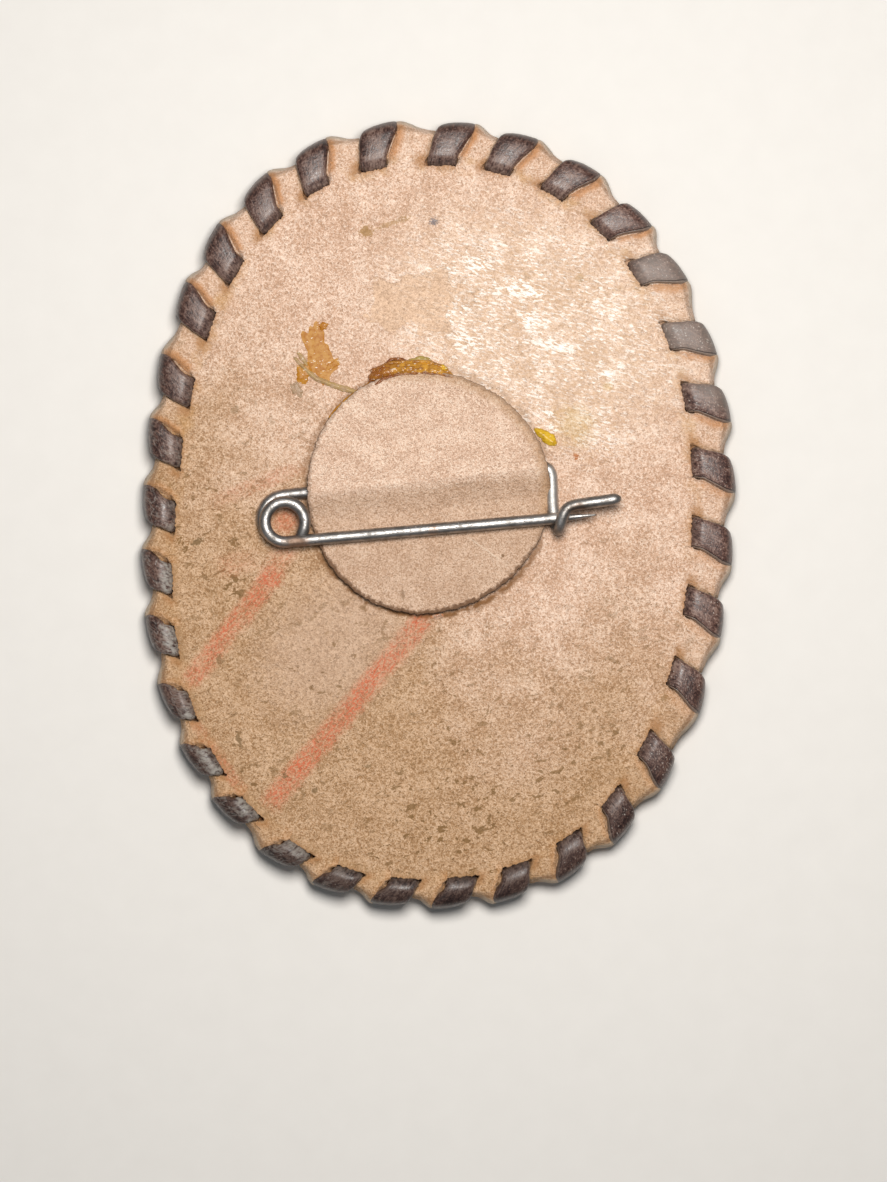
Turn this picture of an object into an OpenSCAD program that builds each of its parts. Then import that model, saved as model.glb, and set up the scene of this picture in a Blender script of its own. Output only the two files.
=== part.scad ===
/* [Leather oval] */
// Width of the oval across the middle of the badge
oval_w = 57.6; // [54:0.2:62]
// Length of the oval from top to bottom
oval_l = 76.8; // [74:0.2:84]
// Squareness of the outline, where 2 is a true ellipse
oval_power = 2.25; // [2:0.05:2.5]
// How far the hand-cut outline wanders from its true curve
uneven = 0.23; // [0:0.01:0.3]
// Thickness of the leather
leather_t = 2.8; // [2.4:0.1:3]
// How far the rim bulges just clockwise of each stitch
bulge = 0.3; // [0:0.05:0.4]
// How far the rim is drawn in just counter-clockwise of each stitch
notch = 0.75; // [0:0.05:0.8]

/* [Edge lace] */
// Width of the flat lace where it is pinched in a slit
lace_w = 3.15; // [2.6:0.05:3.2]
// Extra width of the lace where it lies over the rim
lace_spread = 0.5; // [0:0.1:0.5]
// Thickness of the lace
lace_t = 0.8; // [0.6:0.05:0.8]
// Mean distance from the rim to a slit
slit_inset = 3.1; // [3.05:0.05:3.4]
// How much deeper the top slits are, and how much shallower the lower left ones
slit_lean = 0.9; // [0:0.05:0.9]
// Sideways step of the lace between its slit and the rim, on the back
lace_step = 1.65; // [1.2:0.05:1.8]
// Clearance between the lace and the leather's surface
lace_gap = 0.06; // [0.05:0.01:0.1]

/* [Backing patch] */
// Diameter of the round patch
patch_d = 23.8; // [22:0.1:24]
// Thickness of the patch
patch_t = 0.85; // [0.6:0.05:0.9]
// Half the width of the ridge where the patch rises over the bar
ridge_half = 3.2; // [2.8:0.1:3.4]
// Width of the dried glue along the patch's top edge
glue_w = 1.8; // [1:0.1:2.4]

/* [Pin] */
// Diameter of the steel wire
wire_d = 1.15; // [1:0.05:1.2]
// Radius of the coil's turn, to the middle of the wire
coil_r = 1.95; // [1.8:0.05:2.1]
// Length of the stem from the coil to its point
stem_l = 30.4; // [29:0.1:31]
// Angle of the stem above the badge's left-to-right line
stem_deg = 5; // [4.5:0.1:5.5]

/* [Hidden] */

// Middle of each stitch on the back, in degrees counter-clockwise from the right-hand side
stitch_deg = [9, 22, 34, 47, 57, 68, 78.5, 88, 99.5, 110, 120, 130.5, 141, 154, 166, 179,
    191.5, 203.5, 215.5, 226, 235.5, 246, 255, 264, 273, 282, 292, 302, 313, 327, 341, 355];
stitches = len(stitch_deg);

// Section of the rim, from the back round to the front
UNDER = 0;
BETWEEN = 1;
HEIGHT = 2;
SCALLOP = 3;
PAST = 4;
// [inset under a stitch, inset between stitches, share of the thickness, share of the
// scallop, share of the lace's step that it takes below the widest line of the rim]
RIM = [
    [1.20, 1.40, 1.00, 0.1, 0.00],
    [0.95, 0.80, 0.96, 0.5, 0.00],
    [0.77, 0.22, 0.74, 1.0, 0.00],
    [0.71, -0.02, 0.45, 1.0, 0.00],
    [0.80, 0.12, 0.20, 1.0, 0.15],
    [1.35, 0.75, 0.00, 0.5, 0.40]
];
WIDEST = 3;

// Places along the rim for each stitch, counter-clockwise
SIDE = 0;
BEYOND = 1;
IN_GROOVE = 2;
PUSH = 3;
// [side of the lace, distance beyond its edge, 1 in its groove, push outwards]
STATIONS = [
    [-1, 1.05, 0, 0],
    [-1, 0.70, 0, 0.6 * bulge],
    [-1, 0.30, 0, bulge],
    [-1, 0.12, 1, 0],
    [1, 0.12, 1, 0],
    [1, 0.30, 0, -notch],
    [1, 0.65, 0, -0.8 * notch],
    [1, 0.95, 0, -0.4 * notch]
];

// Heights
front_z = lace_t + lace_gap;
back_z = front_z + leather_t;
patch_z = back_z + 0.05;
bar_z = back_z + 0.06 + wire_d / 2;
coil_z = bar_z + wire_d + 0.07;

// Middle of the whole part, so that its box stands centred on the origin
box_middle = [0.22, -0.03];

// Places on the back, from the middle of the oval
patch_at = [-0.9, 2.2];
coil_at = [-14.8, -0.75];

// The lower turn of the coil is wider than the upper one, and set a little higher
low_r = 2.29;
low_at = coil_at + [0, 0.36];
bar_deg = 6.3;
bar_start = low_at + low_r * [cos(90 + bar_deg), sin(90 + bar_deg)];
bar_l = 25.4;
bar_end = bar_start + bar_l * [cos(bar_deg), sin(bar_deg)];

// Stem, from the point where it leaves the coil
stem_start = coil_at + coil_r * [cos(stem_deg - 90), sin(stem_deg - 90)];
point_l = 4.2;
wire_sides = 12;
tunnel_gap = 0.08;

// Lace turns through a slit on this radius
bend_r = lace_t / 2 + 0.1;
lace_lift = lace_gap + lace_t / 2;
slit_gap = 0.1;
// The lace crosses the front at a long slant, so it takes up more of the rim there
front_spread = 1.45;

// Distance from the middle of the oval to its edge
function oval_r(a) = pow(pow(abs(cos(a)) * 2 / oval_w, oval_power)
    + pow(abs(sin(a)) * 2 / oval_l, oval_power), -1 / oval_power)
    + uneven * (cos(3 * a) + 0.7 * sin(2 * a) + 0.7 * sin(4 * a));
// Slope of the edge along one axis, from a place on that axis and the oval's size along it
function edge_slope(p, size) = sign(p) * pow(abs(p) * 2 / size, oval_power - 1) / size;
// Outward direction of the edge
function outward(a) = let(
    p = oval_r(a) * [cos(a), sin(a)],
    g = [edge_slope(p.x, oval_w), edge_slope(p.y, oval_l)]
) g / norm(g);
// Place at a distance in from the edge
function inset_at(a, inset) = oval_r(a) * [cos(a), sin(a)] - inset * outward(a);
// Degrees taken by one millimetre along the edge
function deg_per_mm(a) = (outward(a) * [cos(a), sin(a)]) * 180 / (PI * oval_r(a));
// Distance from the rim to a slit
function slit_depth(a) = slit_inset + slit_lean * (sin(a + 35) - 0.3 * sin(2 * a));
// Half the lace's width at a distance in from the edge
function half_w(inset, a) = lace_w / 2
    + lace_spread / 2 * max(0, min(1, 1.4 * (1 - inset / slit_depth(a))));

// Triangles that join neighbouring rings of n points, round to the first ring if closed
function skin(rings, n, closed = false) = [
    for (r = [0:rings - (closed ? 1 : 2)], k = [0:n - 1]) let(
        next = (r + 1) % rings,
        a = r * n + k,
        b = r * n + (k + 1) % n,
        c = next * n + k,
        d = next * n + (k + 1) % n
    ) each [[a, b, d], [a, d, c]]
];
// Solid through rings of equal length, which run clockwise as seen from the ring before,
// with each end closed by triangles that meet in its middle
module lofted(rings) {
    n = len(rings[0]);
    last = len(rings) - 1;
    share = [for (k = [1:n]) 1 / n];
    tip = n * len(rings);
    polyhedron(
        concat([for (ring = rings) each ring], [share * rings[0]], [share * rings[last]]),
        concat(
            skin(len(rings), n),
            [for (k = [0:n - 1]) [(k + 1) % n, k, tip]],
            [for (k = [0:n - 1]) [last * n + k, last * n + (k + 1) % n, tip + 1]]
        )
    );
}

// Outward direction of a stretch of the section, which runs from back to front
function side_of(p, q) = let(v = (q - p) / norm(q - p)) [v.y, -v.x];
// Offset that keeps a constant distance from both stretches that meet at q
function miter(p, q, r) = let(m = side_of(p, q), n = side_of(q, r)) (m + n) / (1 + m * n);

// [inset, height] of the leather under a stitch, and of the middle of the lace over it
function groove_spot(k) = [RIM[k][UNDER], front_z + RIM[k][HEIGHT] * leather_t];
function spot_before(k) = k == 0 ? groove_spot(0) + [1, 0] : groove_spot(k - 1);
function spot_after(k) = k == len(RIM) - 1 ? groove_spot(k) + [1, 0] : groove_spot(k + 1);
function lace_spot(k) = groove_spot(k)
    + lace_lift * miter(spot_before(k), groove_spot(k), spot_after(k));
// Sideways place of the lace at one row of the rim, from the middle of its stitch
function drift(k, a) = let(
    widest = lace_spot(WIDEST).x,
    run = slit_depth(a) - bend_r - widest
) lace_step * (k <= WIDEST ? (lace_spot(k).x - widest) / run - 0.5 : -0.5 - RIM[k][PAST]);

// Leather: one ring of points for each row of RIM, all round the oval
function rim_point(i, k, st) = let(
    a0 = stitch_deg[i],
    row = RIM[k],
    inset = st[IN_GROOVE] == 1 ? row[UNDER] : row[BETWEEN] - row[SCALLOP] * st[PUSH],
    along = st[SIDE] * (half_w(row[UNDER], a0) + st[BEYOND]) + drift(k, a0),
    p = inset_at(a0 + along * deg_per_mm(a0), inset)
) [p.x, p.y, groove_spot(k).y];

module oval_plate() {
    lofted([for (k = [0:len(RIM) - 1]) [
        for (i = [0:stitches - 1], st = STATIONS) rim_point(i, k, st)
    ]]);
}

module slit(i) {
    a = slit_angle(i);
    n = outward(a);
    p = inset_at(a, slit_depth(stitch_deg[i]));
    translate([p.x, p.y, front_z - 1])
        rotate([0, 0, atan2(n.y, n.x)])
            translate([-lace_t / 2 - slit_gap, -lace_w / 2 - slit_gap, 0])
                cube([lace_t + 2 * slit_gap, lace_w + 2 * slit_gap, leather_t + 2]);
}

module leather_oval() {
    color("burlywood")
        difference() {
            oval_plate();
            for (i = [0:stitches - 1]) slit(i);
        }
}

// Lace: each stitch comes up through its slit, crosses the back outwards and clockwise,
// turns over the rim and runs along the front to the next slit
function slit_angle(i) = stitch_deg[i] + lace_step / 2 * deg_per_mm(stitch_deg[i]);
function clockwise_slit(i) = i == 0 ? slit_angle(stitches - 1) - 360 : slit_angle(i - 1);

// [angle, inset, height, half width] along one stitch
function stitch_path(i) = let(
    a0 = stitch_deg[i],
    a = slit_angle(i),
    b = clockwise_slit(i),
    here = slit_depth(a0),
    there = slit_depth(b),
    up = back_z + lace_lift - bend_r,
    down = front_z - lace_lift + bend_r,
    last = len(RIM) - 1,
    last_a = a0 + drift(last, a0) * deg_per_mm(a0),
    hw = lace_w / 2
) concat(
    [
        [a, here, down, hw],
        [a, here, up, hw],
        [a, here - bend_r * (1 - cos(45)), up + bend_r * sin(45), hw],
        [a, here - bend_r, up + bend_r, hw]
    ],
    [for (k = [0:last]) let(s = lace_spot(k))
        [a0 + drift(k, a0) * deg_per_mm(a0), s.x, s.y, half_w(s.x, a0)]],
    [
        [
            (last_a + b) / 2,
            (RIM[last][UNDER] + there - bend_r) / 2,
            down - bend_r,
            front_spread * hw
        ],
        [b, there - bend_r, down - bend_r, hw],
        [b, there - bend_r * (1 - cos(45)), down - bend_r * sin(45), hw]
    ]
);

module edge_lace() {
    path = [for (i = [stitches - 1:-1:0]) each stitch_path(i)];
    n = len(path);
    points = [for (j = [0:n - 1]) let(
        p = path[(j + n - 1) % n],
        q = path[j],
        r = path[(j + 1) % n],
        m = lace_t / 2 * miter([p[1], p[2]], [q[1], q[2]], [r[1], r[2]]),
        w = q[3] * deg_per_mm(q[0])
    ) each [for (c = [[1, 1], [-1, 1], [-1, -1], [1, -1]]) let(
        xy = inset_at(q[0] + c.x * w, q[1] + c.y * m.x)
    ) [xy.x, xy.y, q[2] + c.y * m.y]]];
    color("saddlebrown") polyhedron(points, skin(n, 4, true));
}

// Patch: a hand-cut round of thinner leather, not quite circular
function patch_r(a) = patch_d / 2 + 0.18 * cos(3 * a - 12);

module bar_line(r, start, length) {
    translate([bar_start.x, bar_start.y, bar_z])
        rotate([0, 0, bar_deg])
            rotate([0, 90, 0])
                translate([0, 0, start])
                    cylinder(r = r, h = length, $fn = 32);
}

module backing_patch() {
    cover_r = wire_d / 2 + tunnel_gap + 0.9 * patch_t;
    past = 3;
    color("tan")
        difference() {
            intersection() {
                translate([patch_at.x, patch_at.y, patch_z])
                    linear_extrude(wire_d + 2 * patch_t)
                        polygon([for (a = [0:7.5:352.5]) patch_r(a) * [cos(a), sin(a)]]);
                union() {
                    translate([patch_at.x - patch_d, patch_at.y - patch_d, patch_z])
                        cube([2 * patch_d, 2 * patch_d, patch_t]);
                    hull() {
                        bar_line(cover_r, -past, bar_l + 2 * past);
                        translate([bar_start.x, bar_start.y, patch_z - 0.5])
                            rotate([0, 0, bar_deg])
                                translate([-past, -ridge_half, 0])
                                    cube([bar_l + 2 * past, 2 * ridge_half, patch_t + 0.5]);
                    }
                }
            }
            swept_wire(wire_route(wire_d / 2 + tunnel_gap), wire_sides);
        }
}

// Glue: a bead that squeezed out along the patch's top edge, thick on the left
module glue_bead() {
    first = 76;
    last = 113;
    steps = 12;
    clear = 0.08;
    end_h = 0.3;
    crown_h = 0.5;
    // The bead widens towards the left, in waves, and both of its ends run out thin
    thin_share = 0.62;
    widening = 0.33;
    wave = 0.12;
    wave_deg = 153;
    // [share of the width, share of the height] round the bead's section
    section = [[1, 0], [0.8, 0.45], [0.35, 0.95], [0, 1], [0, 0]];
    color("goldenrod")
        translate([patch_at.x, patch_at.y, patch_z])
            lofted([for (k = [0:steps]) let(
                t = k / steps,
                a = first + t * (last - first),
                w = glue_w * (thin_share + widening * t + wave * sin(wave_deg * k))
                    * min(1, 0.2 + 6 * t, 3.4 - 2.8 * t),
                h = end_h + crown_h * sin(180 * t)
            ) [for (s = section) let(r = patch_r(a) + clear + w * s.x)
                [r * cos(a), r * sin(a), h * s.y]]]);
}

// Hook: down past the patch, under the stem, back over it and away to the right as a tail
// [from the middle across, from the middle up, above the leather, share of the radius]
HOOK = [
    [10.60, 4.66, 0.64, 1], [10.95, 4.50, 0.64, 1], [11.19, 4.18, 0.64, 1],
    [11.30, 3.72, 0.64, 1], [11.34, 2.60, 0.64, 1], [11.38, 1.20, 0.64, 1],
    [11.46, 0.10, 0.64, 1], [11.54, -0.45, 0.66, 1], [11.70, -1.02, 0.86, 1],
    [11.86, -1.44, 1.31, 1], [11.98, -1.55, 1.86, 1], [12.08, -1.36, 2.41, 1],
    [12.18, -0.88, 2.84, 1], [12.32, -0.20, 3.05, 1], [12.60, 0.36, 3.09, 1],
    [13.05, 0.74, 3.09, 1], [13.70, 0.93, 3.08, 1], [15.40, 1.17, 3.06, 1],
    [17.60, 1.49, 3.04, 1], [17.88, 1.53, 3.04, 0.85], [18.05, 1.56, 3.04, 0.5]
];

// Route [x, y, z, radius] of the fixed wire: the coil's lower half turn, clockwise from under
// the stem, then the bar under the patch, then the hook
function wire_route(r) = concat(
    [for (a = [265:-12:97]) let(
        p = low_at + low_r * [cos(a), sin(a)]
    ) [p.x, p.y, bar_z, r]],
    [[bar_start.x, bar_start.y, bar_z, r]],
    [[bar_end.x, bar_end.y, bar_z, r]],
    [for (p = HOOK) [p.x, p.y, back_z + p.z, p[3] * r]]
);

// Directions across the wire, carried along the route without twisting
function carried(dirs, u, k = 0) = k == len(dirs) ? [] : let(
    w = u - (u * dirs[k]) * dirs[k],
    v = w / norm(w)
) concat([v], carried(dirs, v, k + 1));

// Round wire along a route of [x, y, z, radius]
module swept_wire(route, sides) {
    n = len(route);
    spots = [for (p = route) [p.x, p.y, p.z]];
    dirs = [for (k = [0:n - 1]) let(
        v = spots[min(k + 1, n - 1)] - spots[max(k - 1, 0)]
    ) v / norm(v)];
    across = carried(dirs, [0, 0, 1]);
    lofted([for (k = [0:n - 1]) [for (s = [0:sides - 1]) let(
        t = -360 * s / sides,
        u = across[k],
        v = cross(dirs[k], u)
    ) spots[k] + route[k][3] * (cos(t) * u + sin(t) * v)]]);
}

module pin_wire() {
    color("silver") swept_wire(wire_route(wire_d / 2), wire_sides);
}

// Bent length of the stem's wire: a turn about the z axis, from one angle to another
module wire_turn(from, to) {
    rotate([0, 0, from])
        rotate_extrude(angle = to - from, $fn = 48)
            translate([coil_r, 0]) circle(d = wire_d, $fn = 24);
}

// Stem: the upper turn of the coil dives from its right side to the lower turn, where the
// straight stem covers it. The dive bends in a plane that tips down about the turn's own
// line, so the two bends meet face to face.
module pin_stem() {
    ring_start = -10;
    dive_deg = 58;
    dive_tip = 62;
    straight = stem_l - point_l;
    color("gainsboro") {
        translate([coil_at.x, coil_at.y, coil_z]) {
            wire_turn(ring_start, 270 + stem_deg);
            rotate([0, 0, ring_start])
                translate([coil_r, 0, 0])
                    rotate([0, -dive_tip, 0])
                        translate([-coil_r, 0, 0])
                            wire_turn(-dive_deg, 0);
        }
        translate([stem_start.x, stem_start.y, coil_z])
            rotate([0, 0, stem_deg])
                rotate([0, 90, 0]) {
                    cylinder(d = wire_d, h = straight, $fn = 24);
                    translate([0, 0, straight])
                        cylinder(d1 = wire_d, d2 = 0.12, h = point_l, $fn = 24);
                }
    }
}

translate([-box_middle.x, -box_middle.y, 0]) {
    leather_oval();
    edge_lace();
    backing_patch();
    glue_bead();
    pin_wire();
    pin_stem();
}
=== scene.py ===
# %% [markdown]
# # A laced leather badge, seen from its back
# The badge is an oval of thick tan leather that lies face down, with its rough flesh side up.
# A flat brown lace whips round its rim, and a glued round of thinner leather holds a pin.
# The solids of the frame fix every size and place. This lesson gives each of them its looks:
# a mesh with the true folds and edges, and a finish made of nodes.

# %% Load the solid frame
import math

import bpy
import numpy as np
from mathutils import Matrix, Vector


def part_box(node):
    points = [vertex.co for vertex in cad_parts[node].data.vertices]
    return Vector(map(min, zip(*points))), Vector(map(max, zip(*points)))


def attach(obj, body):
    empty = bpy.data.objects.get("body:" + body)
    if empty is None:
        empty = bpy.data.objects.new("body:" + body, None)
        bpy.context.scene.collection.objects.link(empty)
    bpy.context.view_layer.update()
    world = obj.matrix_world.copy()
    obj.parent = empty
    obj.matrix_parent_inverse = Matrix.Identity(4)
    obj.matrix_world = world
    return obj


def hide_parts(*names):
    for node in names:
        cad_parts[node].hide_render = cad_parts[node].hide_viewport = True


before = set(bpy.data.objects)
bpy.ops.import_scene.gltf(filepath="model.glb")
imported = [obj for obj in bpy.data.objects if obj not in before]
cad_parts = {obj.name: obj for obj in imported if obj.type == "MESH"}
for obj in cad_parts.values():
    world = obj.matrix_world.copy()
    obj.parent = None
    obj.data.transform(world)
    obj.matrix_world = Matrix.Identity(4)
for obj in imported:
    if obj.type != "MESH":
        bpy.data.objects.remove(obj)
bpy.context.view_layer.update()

# %% [markdown]
# All places below are worked out in millimetres, and `MM` turns them into Blender's metres at
# the last moment. The heights come from the boxes of the solids, so the looks can't drift
# away from the frame.

# %% Sizes of the oval and heights of its parts
MM = 0.001
oval_box = [np.array(corner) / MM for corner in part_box("leather_oval")]
patch_box = [np.array(corner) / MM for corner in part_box("backing_patch")]
front_z = oval_box[0][2]
back_z = oval_box[1][2]
leather_t = back_z - front_z
oval_w = 57.6
oval_l = 76.8
oval_power = 2.25
uneven = 0.23
# The solids are drawn round the middle of the oval, which stands here
oval_at = np.array([-0.22, 0.03])
print("Leather from", round(front_z, 2), "to", round(back_z, 2), "mm above the floor")

# %% [markdown]
# The rim is an oval a little fuller than an ellipse, drawn by one power formula, with a slow
# wander added because it was cut by hand. Every place near the rim is given by an angle and a
# distance in from the edge. Arrays from numpy let one formula place thousands of points at
# once.

# %% Outline of the oval
def cosd(a):
    return np.cos(np.radians(a))


def sind(a):
    return np.sin(np.radians(a))


def smooth(value, low, high):
    """Rises softly from 0 at low to 1 at high."""
    t = np.clip((value - low) / (high - low), 0, 1)
    return t * t * (3 - 2 * t)


def waver(along, start=0.0):
    """An irregular wave between -1 and 1, which is the same on each run."""
    return (np.sin(1.7 * along + start) + np.sin(3.1 * along + 2.3 * start)
            + np.sin(5.3 * along + 4.1 * start)) / 3


def round_waver(a, start=0.0):
    """An irregular wave between -1 and 1 that closes on itself after 360 degrees."""
    return (sind(2 * a + 60 * start) + sind(3 * a + 140 * start)
            + sind(5 * a + 250 * start)) / 3


def oval_r(a):
    across = np.abs(cosd(a)) * 2 / oval_w
    up = np.abs(sind(a)) * 2 / oval_l
    true_r = (across**oval_power + up**oval_power) ** (-1 / oval_power)
    return true_r + uneven * (cosd(3 * a) + 0.7 * sind(2 * a) + 0.7 * sind(4 * a))


def outward(a):
    x = oval_r(a) * cosd(a)
    y = oval_r(a) * sind(a)
    slope_x = np.sign(x) * (np.abs(x) * 2 / oval_w) ** (oval_power - 1) / oval_w
    slope_y = np.sign(y) * (np.abs(y) * 2 / oval_l) ** (oval_power - 1) / oval_l
    length = np.hypot(slope_x, slope_y)
    return slope_x / length, slope_y / length


def inset_at(a, inset):
    out_x, out_y = outward(a)
    r = oval_r(a)
    return r * cosd(a) - inset * out_x, r * sind(a) - inset * out_y


def deg_per_mm(a):
    out_x, out_y = outward(a)
    return (out_x * cosd(a) + out_y * sind(a)) * 180 / (np.pi * oval_r(a))


print("Rim measures", round(float(oval_r(0.0) * 2), 1), "by", round(float(oval_r(90.0) * 2), 1))

# %% [markdown]
# The lace comes up through a slit, crosses the back outwards and clockwise, and turns over
# the rim. Where it lies it pulls the rim in, and the leather between two stitches swells into
# a scallop: highest just clockwise of each stitch, and drawn in just counter-clockwise of it.
# Sculpting 32 scallops by hand would take long and never match, so a table gives the section
# of the rim twice, under a stitch and between two, and everything else is worked out from it.

# %% Stitches and section of the rim
stitch_deg = np.array([
    9, 22, 34, 47, 57, 68, 78.5, 88, 99.5, 110, 120, 130.5, 141, 154, 166, 179,
    191.5, 203.5, 215.5, 226, 235.5, 246, 255, 264, 273, 282, 292, 302, 313, 327, 341, 355])
stitches = len(stitch_deg)
next_deg = np.append(stitch_deg[1:], stitch_deg[0] + 360)
last_deg = np.append(stitch_deg[-1] - 360, stitch_deg[:-1])
lace_w = 3.15
lace_spread = 0.5
lace_t = 0.8
lace_gap = 0.06
lace_step = 1.65
lace_slant = 0.2
slit_inset = 3.1
slit_lean = 0.9
lace_lift = lace_gap + lace_t / 2
bend_r = lace_t / 2 + 0.1
# [inset under a stitch, inset between stitches, height under and between as shares of the
# thickness, share of the scallop, share of the lace's step taken below the widest line]
RIM = np.array([
    [1.20, 1.40, 0.93, 1.00, 0.1, 0.00],
    [0.94, 0.80, 0.87, 0.96, 0.5, 0.00],
    [0.77, 0.22, 0.66, 0.75, 1.0, 0.00],
    [0.71, -0.02, 0.43, 0.45, 1.0, 0.00],
    [0.80, 0.12, 0.20, 0.20, 1.0, 0.15],
    [1.35, 0.75, 0.00, 0.00, 0.5, 0.40]])
UNDER, BETWEEN, UNDER_H, BETWEEN_H, SCALLOP, PAST = range(6)
WIDEST = 3
# From the drawn-in side of the gap between two stitches (0) to its swollen side (1): how far
# the rim stands out, and how far the back swells up
SWELL_AT = (0.0, 0.2, 0.36, 0.5, 0.62, 0.75, 0.87, 0.95, 1.0)
SWELL_OUT = (-0.70, -0.62, -0.46, -0.22, 0.0, 0.2, 0.3, 0.28, 0.2)
SWELL_UP = (-0.04, 0.07, 0.11, 0.14, 0.2, 0.28, 0.3, 0.14, -0.05)


def slit_depth(a):
    return slit_inset + slit_lean * (sind(a + 35) - 0.3 * sind(2 * a))


def half_w(inset, a):
    return lace_w / 2 + lace_spread / 2 * np.clip(1.4 * (1 - inset / slit_depth(a)), 0, 1)


def lace_spots():
    """Inset and height of the middle of the lace at each row of the rim."""
    groove = np.column_stack([RIM[:, UNDER], front_z + RIM[:, UNDER_H] * leather_t])
    padded = np.vstack([groove[0] + [1, 0.1], groove, groove[-1] + [1, 0]])
    runs = np.diff(padded, axis=0)
    sides = np.column_stack([runs[:, 1], -runs[:, 0]]) / np.linalg.norm(runs, axis=1)[:, None]
    before, after = sides[:-1], sides[1:]
    miters = (before + after) / (1 + (before * after).sum(axis=1))[:, None]
    return groove + lace_lift * miters


LACE_SPOTS = lace_spots()


def drift(inset, a):
    """Sideways place of the lace on the back, which bends straight towards its slit."""
    widest = LACE_SPOTS[WIDEST][0]
    t = np.clip((inset - widest) / (slit_depth(a) + bend_r - widest), 0, 1)
    return lace_step * (t * (1.6 - 0.6 * t) - 0.5)


print(stitches, "stitches, slits", round(float(slit_depth(270.0)), 2), "to",
      round(float(slit_depth(90.0)), 2), "mm in from the edge")

# %% [markdown]
# Long and round pieces all start the same way: as an open tube whose upright edges are
# subdivided into rings. Each point knows its column by its angle and its ring by its height,
# so one short formula per piece can then lay the tube where it belongs. This keeps the faces
# in tidy rows that follow the lace, the rim and the wire, which a sculpted mesh wouldn't do.

# %% Helpers that start, lay and close a mesh
def nothing_selected():
    if bpy.context.mode != "OBJECT":
        bpy.ops.object.mode_set(mode="OBJECT")
    bpy.ops.object.select_all(action="DESELECT")


def only(piece):
    nothing_selected()
    piece.select_set(True)
    bpy.context.view_layer.objects.active = piece


def rolled_tube(name, columns, rings, lengths=1):
    """An open upright tube of rings one apart, repeated end to end in equal lengths."""
    nothing_selected()
    height = rings - 1
    bpy.ops.mesh.primitive_cylinder_add(
        vertices=columns, radius=1, depth=height, end_fill_type="NOTHING",
        location=(0, 0, height / 2))
    tube = bpy.context.object
    tube.name = name
    tube.data.name = name
    bpy.ops.object.transform_apply(location=True)
    bpy.ops.object.mode_set(mode="EDIT")
    bpy.ops.mesh.select_mode(type="EDGE")
    bpy.ops.mesh.select_all(action="DESELECT")
    bpy.ops.object.mode_set(mode="OBJECT")
    for edge in tube.data.edges:
        low, high = (tube.data.vertices[v].co.z for v in edge.vertices)
        edge.select = abs(high - low) > 0.5
    bpy.ops.object.mode_set(mode="EDIT")
    bpy.ops.mesh.subdivide(number_cuts=rings - 2)
    bpy.ops.object.mode_set(mode="OBJECT")
    if lengths > 1:
        array = tube.modifiers.new("lengths", "ARRAY")
        array.count = lengths
        array.use_relative_offset = False
        array.use_constant_offset = True
        array.constant_offset_displace = (0, 0, height)
        array.use_merge_vertices = True
        bpy.ops.object.modifier_apply(modifier="lengths")
    return tube


def lay(tube, columns, place):
    """Moves each point to place(column, ring), in millimetres. Returns columns and rings."""
    spots = np.empty(len(tube.data.vertices) * 3)
    tube.data.vertices.foreach_get("co", spots)
    x, y, z = spots.reshape(-1, 3).T
    # A cylinder's first column stands at a quarter turn
    column = np.rint((np.arctan2(y, x) / (2 * np.pi) - 0.25) * columns).astype(int) % columns
    ring = np.rint(z).astype(int)
    laid = np.column_stack(place(column, ring)) * MM
    tube.data.vertices.foreach_set("co", laid.ravel())
    return column, ring


def note(piece, name, *values):
    """Keeps up to three values for each point, which the finish can read by name."""
    kept = piece.data.attributes.new(name, "FLOAT_VECTOR", "POINT")
    rows = np.zeros((len(piece.data.vertices), 3))
    for k, value in enumerate(values):
        rows[:, k] = value
    kept.data.foreach_set("vector", rows.ravel())


def close_up(piece, join=0.002):
    """Joins points that meet, turns all faces outwards and shades them smooth."""
    only(piece)
    bpy.ops.object.mode_set(mode="EDIT")
    bpy.ops.mesh.select_all(action="SELECT")
    bpy.ops.mesh.remove_doubles(threshold=join * MM)
    bpy.ops.mesh.normals_make_consistent(inside=False)
    bpy.ops.object.mode_set(mode="OBJECT")
    bpy.ops.object.shade_smooth()
    triangles = sum(len(face.vertices) - 2 for face in piece.data.polygons)
    print(piece.name, "has", triangles, "triangles")


def roughen(piece, name, size, depth):
    """Moves the surface in and out by a soft noise of that size and depth, in millimetres."""
    clouds = bpy.data.textures.new(name, "CLOUDS")
    clouds.noise_scale = size * MM
    clouds.noise_depth = 2
    push = piece.modifiers.new(name, "DISPLACE")
    push.texture = clouds
    push.texture_coords = "LOCAL"
    push.mid_level = 0.5
    push.strength = depth * MM
    only(piece)
    bpy.ops.object.modifier_apply(modifier=name)


# %% [markdown]
# The oval's mesh has 32 columns for each stitch: 17 under the lace and 15 between it and the
# next. Its rings run from the middle of the back out to the slits, over the rim and in again
# along the front. Rings crowd together where the surface turns: at the mouth of each slit and
# round the edge. The leather is pressed down under the lace, and puckers at the slit.

# %% Rings of the leather oval
under_columns = 17
between_columns = 15
stitch_columns = under_columns + between_columns
oval_columns = stitches * stitch_columns
# Distance in from the slits where the stitches no longer show
calm = 3.2
slit_half = 0.45
slit_floor = 1.2
lip_h = 0.2
pressed = 0.05
sag = (1 - RIM[0, UNDER_H]) * leather_t
inner_rings = 38


def through(around, t):
    """A soft route through points: a share t of the way from the second to the third of four."""
    p0, p1, p2, p3 = around
    return p1 + 0.5 * t * (p2 - p0 + t * (2 * p0 - 5 * p1 + 4 * p2 - p3
                                          + t * (3 * p1 - p0 - 3 * p2 + p3)))


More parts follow.
